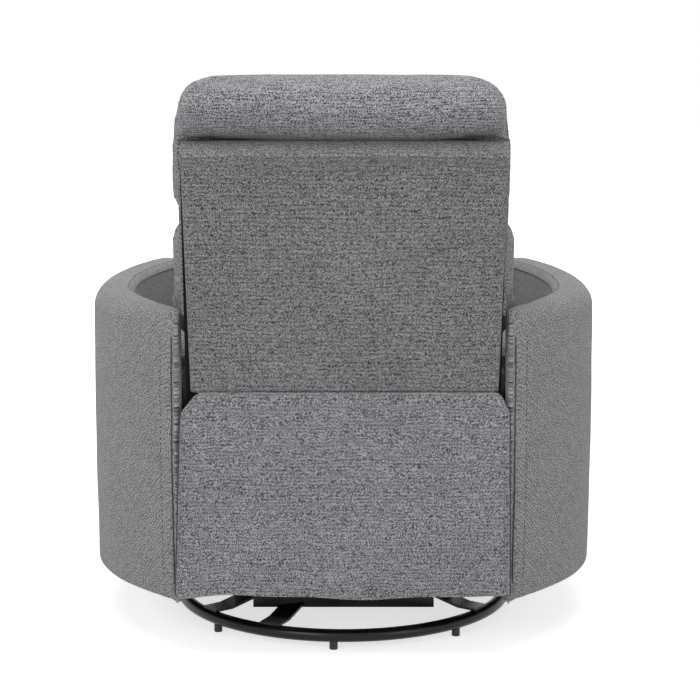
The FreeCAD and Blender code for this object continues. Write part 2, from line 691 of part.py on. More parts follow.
node(group("back_rails", [back_rail("back_rail_low", "back_post_start"),
                          back_rail("back_rail_top", "back_frame_top - back_rail_height")]),
     "back_cross_rails")
back_strips = []
for index in range(5):
    share = "%.3f" % ((index + 1) / 6)
    up = "back_post_start + back_post_length * " + share
    back_strips.append(leaning_box("back_strip_%d" % index, ("-back_bracket_x", "back_bracket_x"),
                                   ("back_face_y - webbing_sheet", "back_face_y"),
                                   (up, up + " + webbing_width")))
node(group("back_strips", back_strips), "back_webbing")


def panel_face():
    """How far behind the hinge the front of the outer panel lies, before leaning."""
    return num("back_face_y") + num("back_post_depth") + num("soft_gap") + 1.5


def back_point(behind, up):
    """Where a point of the back, measured from the hinge before leaning, ends up."""
    lean = math.radians(num("back_lean"))
    return (num("hinge_y") + behind * math.cos(lean) + up * math.sin(lean),
            num("hinge_z") - behind * math.sin(lean) + up * math.cos(lean))


def make_back_panel():
    """Padded outer back between the posts and the cloth, with soft long edges."""
    front = num("hinge_y") + panel_face()
    low = num("hinge_z") + num("back_panel_start")
    sheet_size = num("back_panel_sheet")
    half = num("back_panel_half_width")
    plans = []
    for part, inset in ((0, 5), (0.02, 0), (0.98, 0), (1, 5)):
        plans.append((low + part * num("back_panel_length"), half - inset, front,
                      front + sheet_size - inset / 2, 5, 1.5))
    return solid_feature("back_panel", lean_back(soft_stack(plans)))


node(make_back_panel(), "outer_back_panel")

# Pillow plans: height above the pillows' start, half width, front, gap behind, corner, bow.
# The heights are drawn for a frame whose top is PILLOW_RISE above that start.
PILLOW_RISE = 359
LUMBAR_PLANS = (
    (0, 232, 0, 30, 30, 2), (6, 254, -26, 12, 42, 3), (26, 268, -48, 2, 54, 5),
    (56, 273, -44, 0, 60, 6), (104, 276, -26, 0, 60, 7), (160, 276, -8, 0, 56, 7),
    (200, 274, 8, 0, 50, 6), (218, 268, 26, 1, 40, 3), (227, 252, 48, 6, 26, 1),
)
HEAD_PLANS = (
    (230, 252, 46, 6, 26, 1), (238, 268, 22, 1, 40, 3), (258, 275, 2, 0, 50, 7),
    (312, 276, -8, 0, 54, 7), (374, 272, -2, 0, 54, 7), (420, 264, 20, 0, 48, 7),
    (448, 248, 52, 2, 30, 7), (462, 224, 84, 8, 11, 3),
)
# The roll wraps over the frame: its rear is measured from the outer face of the back panel.
ROLL_PLANS = (
    (376, 258, 90, -22, 12, 2), (386, 265, 84, -14, 28, 3), (406, 266, 80, -3, 34, 4),
    (424, 263, 80, 0, 34, 6), (442, 255, 84, -7, 30, 7), (460, 238, 92, -28, 16, 6),
    (470, 212, 104, -47, 5, 3),
)


def back_cushion(plans, rear_face):
    """Plans measured from the hinge, with the rear side measured from a face of the back."""
    start = num("pillow_start")
    stretch = (num("back_frame_top") - start) / PILLOW_RISE
    placed = []
    for up, half_width, front, gap, corner, bow in plans:
        placed.append((num("hinge_z") + start + up * stretch, half_width, num("hinge_y") + front,
                       num("hinge_y") + rear_face + gap, corner, bow))
    return soft_stack(placed)


def make_head():
    front = back_cushion([(up, width, start, -gap, corner, bow)
                          for up, width, start, gap, corner, bow in HEAD_PLANS], frame_face)
    roll = back_cushion(ROLL_PLANS, num("back_face_y") + num("back_post_depth") + num("back_panel_sheet"))
    return solid_feature("head", lean_back(front.fuse(roll)))


# Cushions stop short of the webbing by the soft gap and by the bow of their rear side.
frame_face = num("back_face_y") - num("webbing_sheet") - num("soft_gap") - 7
lumbar = back_cushion([(up, width, start, -gap, corner, bow)
                       for up, width, start, gap, corner, bow in LUMBAR_PLANS], frame_face)
node(solid_feature("lumbar", lean_back(lumbar)), "lumbar_cushion")
node(make_head(), "head_cushion")


# Skirt that hangs from the bottom of the back

def skirt_wire(height, half_width, middle, wave):
    """Thin closed plan of the cloth at one height: shallow folds front and back."""
    count = 8
    thick = num("skirt_sheet")
    step = 2 * half_width / count

    def fold(index):
        return wave if index % 2 else -wave

    rear_side, front_side = [], []
    for index in range(count):
        x = half_width - index * step
        rear_side += [(x, middle + thick), (x - step / 2, middle + thick + fold(index))]
        x = -half_width + index * step
        front_side += [(x, middle), (x + step / 2, middle + fold(count - 1 - index))]
    rear_side += [(-half_width, middle + thick), (-half_width - 0.5, middle + thick / 2)]
    front_side += [(half_width, middle), (half_width + 0.5, middle + thick / 2)]
    return arc_wire(rear_side + front_side, height)


def make_skirt():
    low, y = num("skirt_bottom"), num("skirt_y")
    panel_y, panel_z = back_point(panel_face() + num("back_panel_sheet"), num("back_panel_start"))
    top = panel_z - num("soft_gap")
    seam = panel_y - num("skirt_sheet") - 1
    half = num("back_panel_half_width")
    rows = ((0, 19, y, 5), (0.35, 15, y - 1, 4), (0.9, 13, 0.5 * (y + seam), 2), (1, -8, seam, 1))
    wires = [skirt_wire(low + part * (top - low), half + more, middle, wave)
             for part, more, middle, wave in rows]
    return solid_feature("skirt_cloth", Part.makeLoft(wires, True, True))


node(make_skirt(), "skirt")


# Footrest linkage.  The long bars slope down and the crossing bars slope up when shut.

def along(start, length, angle):
    turn = math.radians(angle)
    return start[0] + length * math.cos(turn), start[1] + length * math.sin(turn)


down, up_turn = num("down_angle"), num("up_angle")
bar_length = num("bar_length")
pivot_0 = (num("foot_pivot_front"), num("foot_pivot_z"))
pivot_1 = along(pivot_0, bar_length, down)
pivot_2 = along(pivot_1, bar_length, down)
pivot_q = along(pivot_1, bar_length, up_turn)
pivot_3 = along(pivot_q, bar_length, down)
pivot_e = along(pivot_3, num("long_bar_end"), down)
pivot_f = along(pivot_3, num("short_bar_end"), up_turn)
pivot_h = along(pivot_f, num("long_bar_end"), down)

BAR_HOLE = "bar_pin_radius + pin_fit"


def bar_pin(name, pivot, x):
    pin_body = cross_cylinder(name, "bar_pin_radius", x, "%.6f" % -pivot[0], "%.6f" % pivot[1])
    return pin_body


def foot_bar(name, lengths, x, start, angle):
    bar = slot_plate(name, lengths, "bar_radius", BAR_HOLE, "bar_sheet")
    return place_bar(bar, x, start, angle)


bar_a = foot_bar("bar_a", ["bar_length", "2 * bar_length"], "down_bar_x", pivot_0, down)
bar_b = foot_bar("bar_b", ["bar_length"], "up_bar_x", pivot_1, up_turn)
bar_c = foot_bar("bar_c", ["bar_length", "bar_length + long_bar_end"], "down_bar_x", pivot_q, down)
bar_d = foot_bar("bar_d", ["bar_length", "bar_length + short_bar_end"], "up_bar_x", pivot_2, up_turn)
bar_g = foot_bar("bar_g", ["short_bar_end"], "up_bar_x", pivot_e, up_turn)
bar_f = foot_bar("bar_f", ["long_bar_end"], "down_bar_x", pivot_f, down)
node(pair("bars_a", [bar_a]), "footrest_drive_bars")
node(pair("bars_b", [bar_b]), "footrest_rear_cross_bars")
node(pair("bars_c", [bar_c]), "footrest_front_long_bars")
node(pair("bars_d", [bar_d]), "footrest_front_cross_bars")
node(pair("bars_g", [bar_g]), "footrest_end_bars")
foot_tube = cross_cylinder("foot_tube", "foot_tube_radius", ("-down_bar_x", "down_bar_x"),
                           "%.6f" % -((pivot_0[0] + pivot_1[0]) / 2),
                           "%.6f" % ((pivot_0[1] + pivot_1[1]) / 2))
node(foot_tube, "footrest_cross_tube")

stack = ("down_bar_x", "bar_stack_end")
root_pin = bar_pin("pin_0", pivot_0, ("mech_plate_x", "down_bar_x + bar_sheet + 1"))
node(pair("pin_0_pair", [root_pin]), "footrest_root_pins")
node(pair("pin_1_pair", [bar_pin("pin_1", pivot_1, stack), bar_pin("pin_2", pivot_2, stack)]),
     "footrest_drive_pins")
node(pair("pin_q_pair", [bar_pin("pin_q", pivot_q, stack), bar_pin("pin_3", pivot_3, stack),
                         bar_pin("pin_e", pivot_e, stack)]), "footrest_long_bar_pins")
node(pair("pin_f_pair", [bar_pin("pin_f", pivot_f, stack), bar_pin("pin_h", pivot_h, stack)]),
     "footrest_bracket_pins")

bracket_flange = box("bracket_flange", ("down_bar_x", "down_bar_x + bar_sheet"),
                     ("-foot_board_front", "-%.6f" % (pivot_f[0] + 5)),
                     ("%.6f" % (pivot_h[1] + 5), "%.6f" % (pivot_f[1] + 6)))
node(pair("foot_brackets", [fuse("foot_bracket", [bar_f, bracket_flange])]), "footrest_brackets")
foot_low = "%.6f - foot_board_below" % pivot_f[1]
foot_high = "%.6f + foot_board_above" % pivot_f[1]
node(box("foot_board", ("-foot_board_half_width", "foot_board_half_width"),
         ("-foot_board_front - foot_board_sheet", "-foot_board_front"), (foot_low, foot_high)),
     "footrest_board")


def make_foot_pad():
    """Padded footrest cover, drawn flat and lofted forwards with a soft crown."""
    start = num("foot_board_front") + num("foot_board_sheet")
    margin = num("foot_pad_margin")
    half = num("foot_board_half_width") + margin
    low = pivot_f[1] - num("foot_board_below") - margin
    high = pivot_f[1] + num("foot_board_above") + margin
    plans = []
    for part, inset in ((0, 4), (0.12, 0), (0.6, 0), (0.85, 8), (0.96, 22), (1, 45)):
        plans.append((start + part * num("foot_pad_thickness"), half - inset, low + inset, high - inset,
                      30, 3))
    pad = soft_stack(plans)
    return solid_feature("foot_pad", pad.rotated(FreeCAD.Vector(), FreeCAD.Vector(1, 0, 0), 90))


node(make_foot_pad(), "footrest_pad")


# Release lever between the seat and the arm

lever_mount = box("lever_mount", ("lever_x - 6", "lever_x - 0.3"), ("front_tube_y - 14", "front_tube_y + 14"),
                  ("cross_tube_top", "lever_pivot_z + 14"))
lever_mount_hole = cross_cylinder("lever_mount_hole", "bar_pin_radius + pin_fit", ("lever_x - 10", "lever_x"),
                                  "front_tube_y", "lever_pivot_z")
node(cut("lever_mount_drilled", lever_mount, lever_mount_hole), "lever_bracket")
lever_arm = box("lever_arm", ("lever_x", "lever_x + lever_sheet"), ("front_tube_y - 9", "front_tube_y + 9"),
                ("lever_pivot_z - 12", "lever_pivot_z + lever_length"))
lever_hole = cross_cylinder("lever_hole", "bar_pin_radius", ("lever_x - 1", "lever_x + 10"),
                            "front_tube_y", "lever_pivot_z")
node(cut("lever_drilled", lever_arm, lever_hole), "release_lever")
node(cross_cylinder("lever_pin", "bar_pin_radius", ("lever_x - 8", "lever_x + lever_sheet"),
                    "front_tube_y", "lever_pivot_z"), "lever_pivot_pin")
grip = box("lever_grip_block", ("lever_x - 3", "lever_x + lever_sheet + 3"),
           ("front_tube_y - 14", "front_tube_y + 14"),
           ("lever_pivot_z + lever_length", "lever_pivot_z + lever_length + 45"))
node(grip, "lever_grip")

doc.recompute()

faults = [obj.Label for obj in nodes if "Invalid" in obj.State or "Error" in obj.State
          or obj.Shape.isNull() or not obj.Shape.isValid()]
if faults:
    raise RuntimeError("bad pieces: " + ", ".join(faults))

os.makedirs("parts", exist_ok=True)
for obj in nodes:
    obj.Shape.exportStep("parts/%s.step" % obj.Label)
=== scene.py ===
# %% [markdown]
# # A swivel glider recliner, dressed for its picture
#
# The chair's skeleton comes from CAD: a ring base, a swivel, glide links, a
# folding footrest and a reclining back. This notebook dresses it. Each soft
# part gets its own mesh, each surface gets a finish named after the real one,
# and every piece rides on the CAD body that carries it.

# %% Load the frame
import math

import bmesh
import bpy
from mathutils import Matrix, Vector, noise


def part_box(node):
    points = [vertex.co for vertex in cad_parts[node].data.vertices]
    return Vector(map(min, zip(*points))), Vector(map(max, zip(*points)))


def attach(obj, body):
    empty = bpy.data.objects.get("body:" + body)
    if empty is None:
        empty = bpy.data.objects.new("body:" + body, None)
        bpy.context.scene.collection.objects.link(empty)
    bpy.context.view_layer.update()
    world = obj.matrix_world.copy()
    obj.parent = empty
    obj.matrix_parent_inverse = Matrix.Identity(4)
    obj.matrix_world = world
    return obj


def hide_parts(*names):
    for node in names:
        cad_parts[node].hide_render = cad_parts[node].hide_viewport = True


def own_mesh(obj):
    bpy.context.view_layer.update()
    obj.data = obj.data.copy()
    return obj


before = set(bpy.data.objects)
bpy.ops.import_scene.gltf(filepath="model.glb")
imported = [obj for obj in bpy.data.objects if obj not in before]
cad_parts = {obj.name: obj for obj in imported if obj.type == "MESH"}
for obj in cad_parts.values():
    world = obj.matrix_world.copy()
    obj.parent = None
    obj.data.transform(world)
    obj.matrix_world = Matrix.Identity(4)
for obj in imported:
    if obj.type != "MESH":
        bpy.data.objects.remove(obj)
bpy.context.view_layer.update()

scene = bpy.context.scene

# %% [markdown]
# ## The camera
#
# The photograph looks at the chair from behind, a little above the arms.
# A long lens keeps the outline nearly parallel, as the photograph does. The
# small shifts put the chair where it stands in the picture: a few pixels
# left of the middle, and a few up.

# %% Camera behind the chair
PIXELS = 700
camera_data = bpy.data.cameras.new("rear_camera")
camera_data.sensor_width = 36.0
camera_data.lens = 103.68
camera_data.shift_x = 6.5 / PIXELS
camera_data.shift_y = -11.0 / PIXELS
camera = bpy.data.objects.new("rear_camera", camera_data)
scene.collection.objects.link(camera)
camera.location = (0.0, 3.5506, 1.0742)
aim = Vector((0.0, 0.0, 0.48)) - camera.location
camera.rotation_euler = aim.to_track_quat("-Z", "Y").to_euler()
scene.camera = camera
print("camera distance:", round(aim.length, 3), "m")

# %% [markdown]
# ## Colours and nodes
#
# Colours are written as the sRGB hex values a painter would pick, and turned
# to the linear numbers that light is worked out in. One helper adds a node,
# sets its options and fills its inputs, so each finish below reads from top
# to bottom like a recipe.

# %% Colour and node helpers
def linear(hex_code):
    """An sRGB hex colour as the linear RGBA that shaders use."""
    parts = [int(hex_code[i:i + 2], 16) / 255 for i in (1, 3, 5)]
    return tuple(c / 12.92 if c <= 0.04045 else ((c + 0.055) / 1.055) ** 2.4 for c in parts) + (1.0,)


def add_node(material, kind, inputs=None, **settings):
    """Adds a node, sets its options, and gives each input a value or a link."""
    made = material.node_tree.nodes.new("ShaderNode" + kind)
    for option, value in settings.items():
        setattr(made, option, value)
    for socket, value in (inputs or {}).items():
        if isinstance(value, bpy.types.NodeSocket):
            material.node_tree.links.new(value, made.inputs[socket])
        else:
            made.inputs[socket].default_value = value
    return made


def new_finish(name):
    """An empty node material."""
    material = bpy.data.materials.new(name)
    material.use_nodes = True
    material.node_tree.nodes.clear()
    return material


print("mid grey", "#77787a", "is", [round(c, 3) for c in linear("#77787a")[:3]], "in linear light")

# %% [markdown]
# ## The upholstery: heathered linen-look polyester
#
# The cover is a plain weave of thick and thin (slubbed) yarn, spun from dark
# and light fibres. The eye sees three things: even rows of yarn, a salt and
# pepper speckle, and short streaks where one yarn is thicker. The rows
# wander a little where the cloth was pulled over a curve.
#
# A real row is about 1 mm high, finer than a pixel here, so the rows are
# drawn 5 to 7 mm apart to show at all. A Wave texture gives the rows, a
# stretched Noise texture the streaks, and a fine Noise texture the speckle.
# Cloth that lies flat needs its rows turned, so both directions are made,
# and the surface's own slope picks one.

# %% Woven cover finish
def two_tone(material, share, deep, pale):
    """A colour between two, by a share from 0 to 1."""
    return add_node(material, "Mix", {0: share, 6: linear(deep), 7: linear(pale)}, data_type="RGBA").outputs[2]


def woven_cover(name, deep, pale, row=0.007, slub=0.016, turn=0.0, by_uv=False, streaky=0.8, speckled=5.0):
    """Heathered cloth: row spacing and slub length in metres, turn in radians."""
    material = new_finish(name)
    place = add_node(material, "TexCoord").outputs["UV" if by_uv else "Object"]
    drift = add_node(material, "TexNoise", {"Vector": place, "Scale": 1 / 0.09, "Detail": 1.0})
    pulled = add_node(material, "VectorMath", {0: drift.outputs["Color"], 1: (0.012,) * 3, 2: place},
                      operation="MULTIPLY_ADD").outputs[0]
    thin = row * 0.45
    if by_uv:
        turned = add_node(material, "Mapping", {"Vector": pulled, "Rotation": (0, 0, turn)},
                          vector_type="TEXTURE").outputs[0]
        ways = [(turned, "Y", (slub, thin, slub))]
    else:
        ways = [(pulled, "Z", (slub, slub, thin)), (pulled, "Y", (slub, thin, slub))]
    made = []
    for vector, across, size in ways:
        rows = add_node(material, "TexWave", {"Vector": vector, "Scale": math.pi / 10 / row,
                                              "Distortion": 1.6, "Detail": 1.0, "Detail Scale": 1.5},
                        bands_direction=across)
        long = add_node(material, "Mapping", {"Vector": vector, "Scale": size}, vector_type="TEXTURE")
        streak = add_node(material, "TexNoise", {"Vector": long.outputs[0], "Scale": 1.0, "Detail": 1.0})
        inputs = {0: streak.outputs[0], 1: streaky / 0.26, 2: rows.outputs["Fac"]}
        made.append(add_node(material, "Math", inputs, operation="MULTIPLY_ADD").outputs[0])
    weave = made[0]
    if not by_uv:
        normal = add_node(material, "NewGeometry").outputs["Normal"]
        up = add_node(material, "SeparateXYZ", {0: normal}).outputs["Z"]
        steep = add_node(material, "Math", {0: up}, operation="ABSOLUTE").outputs[0]
        lies = add_node(material, "MapRange", {"Value": steep, "From Min": 0.6, "From Max": 0.85},
                        interpolation_type="SMOOTHSTEP").outputs[0]
        weave = add_node(material, "Mix", {0: lies, 2: made[0], 3: made[1]}).outputs[0]
    speckle = add_node(material, "TexNoise", {"Vector": place, "Scale": 1 / 0.0018, "Detail": 1.0,
                                              "Roughness": 0.75}).outputs[0]
    middle = 0.5 - 0.13 - streaky / 2 - speckled / 2
    yarn = add_node(material, "Math", {0: weave, 1: 0.26, 2: middle}, operation="MULTIPLY_ADD").outputs[0]
    yarn = add_node(material, "Math", {0: speckle, 1: speckled, 2: yarn}, operation="MULTIPLY_ADD").outputs[0]
    tone = two_tone(material, yarn, deep, pale)
    cloud = add_node(material, "TexNoise", {"Vector": place, "Scale": 1 / 0.11, "Detail": 2.0}).outputs[0]
    worn = add_node(material, "MapRange", {"Value": cloud, "From Min": 0.3, "From Max": 0.7,
                                           "To Min": 0.95, "To Max": 1.05}).outputs[0]
    colour = add_node(material, "VectorMath", {0: tone, "Scale": worn}, operation="SCALE").outputs[0]
    relief = add_node(material, "Bump", {"Strength": 0.3, "Distance": 0.001, "Height": yarn}).outputs[0]
    cloth = add_node(material, "BsdfPrincipled", {"Base Color": colour, "Roughness": 0.92, "Normal": relief,
                                                  "Specular IOR Level": 0.25, "Sheen Weight": 0.15,
                                                  "Sheen Roughness": 0.6})
    add_node(material, "OutputMaterial", {"Surface": cloth.outputs[0]})
    return material


panel_cloth = woven_cover("linen_look_weave_level", "#2c2d2f", "#9c9d9f")
skirt_cloth = woven_cover("linen_look_weave_skirt", "#33343a", "#aaabae", row=0.0059)
pillow_cloth = woven_cover("linen_look_weave_pillow", "#33343a", "#acadb0", row=0.0052, slub=0.024,
                           streaky=1.3)
arm_cloth = {side: woven_cover("linen_look_weave_bias_" + side, "#222325", "#b6b7b9", row=0.0042, slub=0.012,
                               turn=-0.95, by_uv=True) for side in ("left", "right")}
print("cloth finishes:", [m.name for m in (panel_cloth, skirt_cloth, pillow_cloth, *arm_cloth.values())])

# %% [markdown]
# ## The hard finishes
#
# The ring and legs are steel tube in glossy black enamel: almost no colour
# of its own, and a soft highlight. The hidden frame is the same steel with
# a flatter coat. Pins, links and bolts are zinc plated, a grey metal with
# fine, cloudy variation. Glides and the lever's grip are moulded black
# nylon. The boards are beech, with grain running along them, except the
# posts, rails and boards that could show in gaps: they are flat black, as
# painted shade for those dark gaps.

# %% Enamel, zinc, nylon, beech and webbing
def black_enamel(name, colour, roughness, gloss):
    """Baked black enamel with a faint orange-peel surface, 2 mm apart."""
    material = new_finish(name)
    place = add_node(material, "TexCoord").outputs["Object"]
    peel = add_node(material, "TexNoise", {"Vector": place, "Scale": 1 / 0.002, "Detail": 1.0}).outputs[0]
    dust = add_node(material, "TexNoise", {"Vector": place, "Scale": 1 / 0.05, "Detail": 4.0}).outputs[0]
    tone = two_tone(material, dust, colour, "#0d0f12")
    sheen = add_node(material, "MapRange", {"Value": dust, "To Min": roughness - 0.05,
                                            "To Max": roughness + 0.07}).outputs[0]
    relief = add_node(material, "Bump", {"Strength": 0.08, "Distance": 0.0002, "Height": peel}).outputs[0]
    coat = add_node(material, "BsdfPrincipled", {"Base Color": tone, "Roughness": sheen, "Normal": relief,
                                                 "Specular IOR Level": gloss})
    add_node(material, "OutputMaterial", {"Surface": coat.outputs[0]})
    return material


def zinc_plate(name):
    """Zinc plating: a metal whose crystals cloud over a few millimetres."""
    material = new_finish(name)
    place = add_node(material, "TexCoord").outputs["Object"]
    cloud = add_node(material, "TexNoise", {"Vector": place, "Scale": 1 / 0.006, "Detail": 5.0}).outputs[0]
    tone = two_tone(material, cloud, "#8d8f8e", "#c2c3bf")
    dull = add_node(material, "MapRange", {"Value": cloud, "To Min": 0.28, "To Max": 0.5}).outputs[0]
    metal = add_node(material, "BsdfPrincipled", {"Base Color": tone, "Metallic": 1.0, "Roughness": dull})
    add_node(material, "OutputMaterial", {"Surface": metal.outputs[0]})
    return material


def moulded_nylon(name):
    """Black nylon with a fine spark-eroded grain, 0.8 mm across."""
    material = new_finish(name)
    place = add_node(material, "TexCoord").outputs["Object"]
    grain = add_node(material, "TexNoise", {"Vector": place, "Scale": 1 / 0.0008, "Detail": 2.0}).outputs[0]
    tone = two_tone(material, grain, "#131416", "#222326")
    relief = add_node(material, "Bump", {"Strength": 0.3, "Distance": 0.0003, "Height": grain}).outputs[0]
    nylon = add_node(material, "BsdfPrincipled", {"Base Color": tone, "Roughness": 0.55, "Normal": relief,
                                                  "IOR": 1.53})
    add_node(material, "OutputMaterial", {"Surface": nylon.outputs[0]})
    return material


def sawn_beech(name):
    """Beech boards: growth bands 6 mm apart."""
    material = new_finish(name)
    place = add_node(material, "TexCoord").outputs["Object"]
    along = add_node(material, "Mapping", {"Vector": place, "Scale": (0.006, 0.15, 0.006)},
                     vector_type="TEXTURE").outputs[0]
    band = add_node(material, "TexNoise", {"Vector": along, "Scale": 1.0, "Detail": 3.0,
                                           "Distortion": 0.6}).outputs[0]
    tone = two_tone(material, band, "#a98359", "#d3b48a")
    relief = add_node(material, "Bump", {"Strength": 0.2, "Distance": 0.0005, "Height": band}).outputs[0]
    wood = add_node(material, "BsdfPrincipled", {"Base Color": tone, "Roughness": 0.7, "Normal": relief})
    add_node(material, "OutputMaterial", {"Surface": wood.outputs[0]})
    return material


def woven_webbing(name):
    """Elastic webbing: ribs 2 mm apart across the strap."""
    material = new_finish(name)
    place = add_node(material, "TexCoord").outputs["Object"]
    ribs = add_node(material, "TexWave", {"Vector": place, "Scale": 3.1416 / 0.02, "Distortion": 1.0,
                                          "Detail": 1.0}, bands_direction="X").outputs[0]
    tone = two_tone(material, ribs, "#1c1c1d", "#38383a")
    relief = add_node(material, "Bump", {"Strength": 0.4, "Distance": 0.0006, "Height": ribs}).outputs[0]
    strap = add_node(material, "BsdfPrincipled", {"Base Color": tone, "Roughness": 0.85, "Normal": relief})
    add_node(material, "OutputMaterial", {"Surface": strap.outputs[0]})
    return material


ring_enamel = black_enamel("gloss_black_enamel", "#040507", 0.26, 0.3)
frame_enamel = black_enamel("satin_black_enamel", "#0e0f11", 0.5, 0.25)
# The posts, rails and boards in the list below get flat black paint: painted shade for the dark gaps where they
# could show.
gap_shade_black_paint = black_enamel("flat_black_painted_gap_shade", "#101113", 0.75, 0.15)
GAP_SHADE_BOARDS = ("back_posts", "back_cross_rails", "arm_boards", "footrest_board")
FINISHES = {"black_steel": frame_enamel, "zinc_steel": zinc_plate("zinc_plated_steel"),
            "black_plastic": moulded_nylon("moulded_black_nylon"), "hardwood": sawn_beech("sawn_beech"),
            "webbing": woven_webbing("elastic_webbing"), "grey_upholstery": panel_cloth}
for node_name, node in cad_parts.items():
    for place in node.material_slots:
        finish = FINISHES[place.material.name]
        if node_name in ("base_ring", "base_legs"):
            finish = ring_enamel
        place.material = gap_shade_black_paint if node_name in GAP_SHADE_BOARDS else finish
print("finishes on", len(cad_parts), "CAD nodes")

# %% [markdown]
# ## Making meshes
#
# Most covers here are lofts: closed sections, one after another along a
# path, joined by quads. The helper below also writes UVs in metres, so that
# the weave keeps its real size where cloth goes round a curve.

# %% Mesh helpers
def make_piece(name, points, faces, finish, uvs=None):
    """A smooth-shaded mesh object; uvs holds one (u, v) per face corner."""
    mesh = bpy.data.meshes.new(name)
    mesh.from_pydata([tuple(p) for p in points], [], faces)
    if uvs:
        layer = mesh.uv_layers.new(name="weave")
        for corner, uv in zip(layer.data, uvs):
            corner.uv = uv
    mesh.materials.append(finish)
    mesh.shade_smooth()
    piece = bpy.data.objects.new(name, mesh)
    scene.collection.objects.link(piece)
    return piece


def settle_modifiers(piece):
    """Applies every modifier, so the piece is a plain mesh again."""
    shape = piece.evaluated_get(bpy.context.evaluated_depsgraph_get())
    made = bpy.data.meshes.new_from_object(shape)
    made.name = piece.name
    piece.modifiers.clear()
    piece.data = made
    made.shade_smooth()


def smooth_through(points, per_span):
    """A smooth row of points through the given ones, spaced by chord length."""
    points = [Vector(p) for p in points]
    chord = [max((b - a).length, 1e-6) for a, b in zip(points, points[1:])]
    slopes = []
    for i in range(len(points)):
        if i == 0:
            slopes.append((points[1] - points[0]) / chord[0])
        elif i == len(points) - 1:
            slopes.append((points[-1] - points[-2]) / chord[-1])
        else:
            back = (points[i] - points[i - 1]) / chord[i - 1]
            ahead = (points[i + 1] - points[i]) / chord[i]
            slopes.append((back * chord[i] + ahead * chord[i - 1]) / (chord[i] + chord[i - 1]))
    row = []
    for i, length in enumerate(chord):
        for k in range(per_span[i]):
            t = k / per_span[i]
            row.append(points[i] * (2 * t**3 - 3 * t**2 + 1) + slopes[i] * length * (t**3 - 2 * t**2 + t)
                       + points[i + 1] * (3 * t**2 - 2 * t**3) + slopes[i + 1] * length * (t**3 - t**2))
    return row + [points[-1]]


def tube(points, radius, sides=6):
    """Points and faces of a thin round tube along a row of points, closed at both ends."""
    verts, faces = [], []
    for i, p in enumerate(points):
        ahead = (points[min(i + 1, len(points) - 1)] - points[max(i - 1, 0)]).normalized()
        across = ahead.cross(Vector((0.31, 0.2, 0.93))).normalized()
        over = ahead.cross(across)
        r = radius * (0.55 if i in (0, len(points) - 1) else 1.0)
        verts += [p + r * (across * math.cos(a) + over * math.sin(a))
                  for a in (2 * math.pi * k / sides for k in range(sides))]
    for i in range(len(points) - 1):
        for k in range(sides):
            a, b = i * sides + k, i * sides + (k + 1) % sides
            faces.append((a, b, b + sides, a + sides))
    faces += [tuple(reversed(range(sides))), tuple(range(len(verts) - sides, len(verts)))]
    return verts, faces


def tubes(lines, radius, sides):
    """Points and faces of a tube along every line, as one mesh."""
    points, faces = [], []
    for line in lines:
        roll, around = tube(line, radius, sides)
        faces += [tuple(k + len(points) for k in face) for face in around]
        points += roll
    return points, faces


def tidy_normals(piece):
    """Turns every face outward."""
    fix = bmesh.new()
    fix.from_mesh(piece.data)
    bmesh.ops.recalc_face_normals(fix, faces=fix.faces)
    fix.to_mesh(piece.data)
    fix.free()


print("helpers ready")

# %% [markdown]
# ## The arms
#
# Each arm is one upholstered shell that curves round the seat, from a
# narrow front end to a narrow rear end beside the back. Its section is an
# upside-down U: a rounded outer shoulder, a nearly level top, and a tighter
# inner edge where a seam joins the top to the inner side.
#
# A loft fits it well: the plan gives pairs of outer and inner points, and
# each pair carries the same section. The height drops at both ends, where
# the padding rolls over.

# %% Arm sections
MM = 0.001
ARM_PAIRS = [((334, -394), (316, -386)), ((352, -388), (304, -366)), ((370, -366), (308, -335)),
             ((402, -290), (334, -268)), ((430, -170), (360, -160)), ((441, -20), (370, -15)),
             ((431, 90), (358, 90)), ((400, 175), (327, 172)), ((352, 248), (296, 238)),
             ((300, 306), (268, 296)), ((285, 322), (264, 314)), ((275, 328), (268, 325))]
ARM_SPANS = [4, 4, 7, 9, 10, 8, 7, 7, 7, 3, 2]
ARM_TOP, ARM_BOTTOM = 0.581, 0.093


def arc(centre_a, centre_z, radius, start, end, count):
    """Points on an arc in the section's plane, angles in degrees."""
    return [(centre_a + radius * math.cos(math.radians(start + (end - start) * k / count)),
             centre_z + radius * math.sin(math.radians(start + (end - start) * k / count)))
            for k in range(count + 1)]


def arm_section(width, top):
    """(a, z) points round the section: a runs from the inner side, 0, to the outer, width."""
    outer = min(0.027, width * 0.52)
    inner = min(0.016, width * 0.3)
    foot = min(0.008, width * 0.3)
    up = [(0.0, ARM_BOTTOM + foot + (top - inner - ARM_BOTTOM - foot) * k / 16) for k in range(16)]
    down = [(width, top - outer - (top - outer - ARM_BOTTOM - foot) * k / 18) for k in range(1, 18)]
    return (up + arc(inner, top - inner, inner, 180, 90, 5)
            + arc(width - outer, top - outer, outer, 90, 0, 7) + down
            + arc(width - foot, ARM_BOTTOM + foot, foot, 0, -90, 3)
            + arc(foot, ARM_BOTTOM + foot, foot, -90, -180, 3)[:-1])


def shell_rows():
    """Stations along the arm: outer point, inner point, and distance from the front end."""
    outer = smooth_through([(x * MM, y * MM, 0) for (x, y), _ in ARM_PAIRS], ARM_SPANS)
    inner = smooth_through([(x * MM, y * MM, 0) for _, (x, y) in ARM_PAIRS], ARM_SPANS)
    gone, rows = 0.0, []
    for i, (o, n) in enumerate(zip(outer, inner)):
        if i:
            gone += ((o + n) / 2 - (outer[i - 1] + inner[i - 1]) / 2).length
        rows.append((o, n, gone))
    return rows


rows = shell_rows()
print("an arm is", round(rows[-1][2], 3), "m long in plan, with", len(rows), "sections")

# %% [markdown]
# The padding isn't perfectly even. A little slow noise makes the surface
# roll by a millimetre, and short upright folds gather at the rear foot,
# where the cover is stapled under the frame.

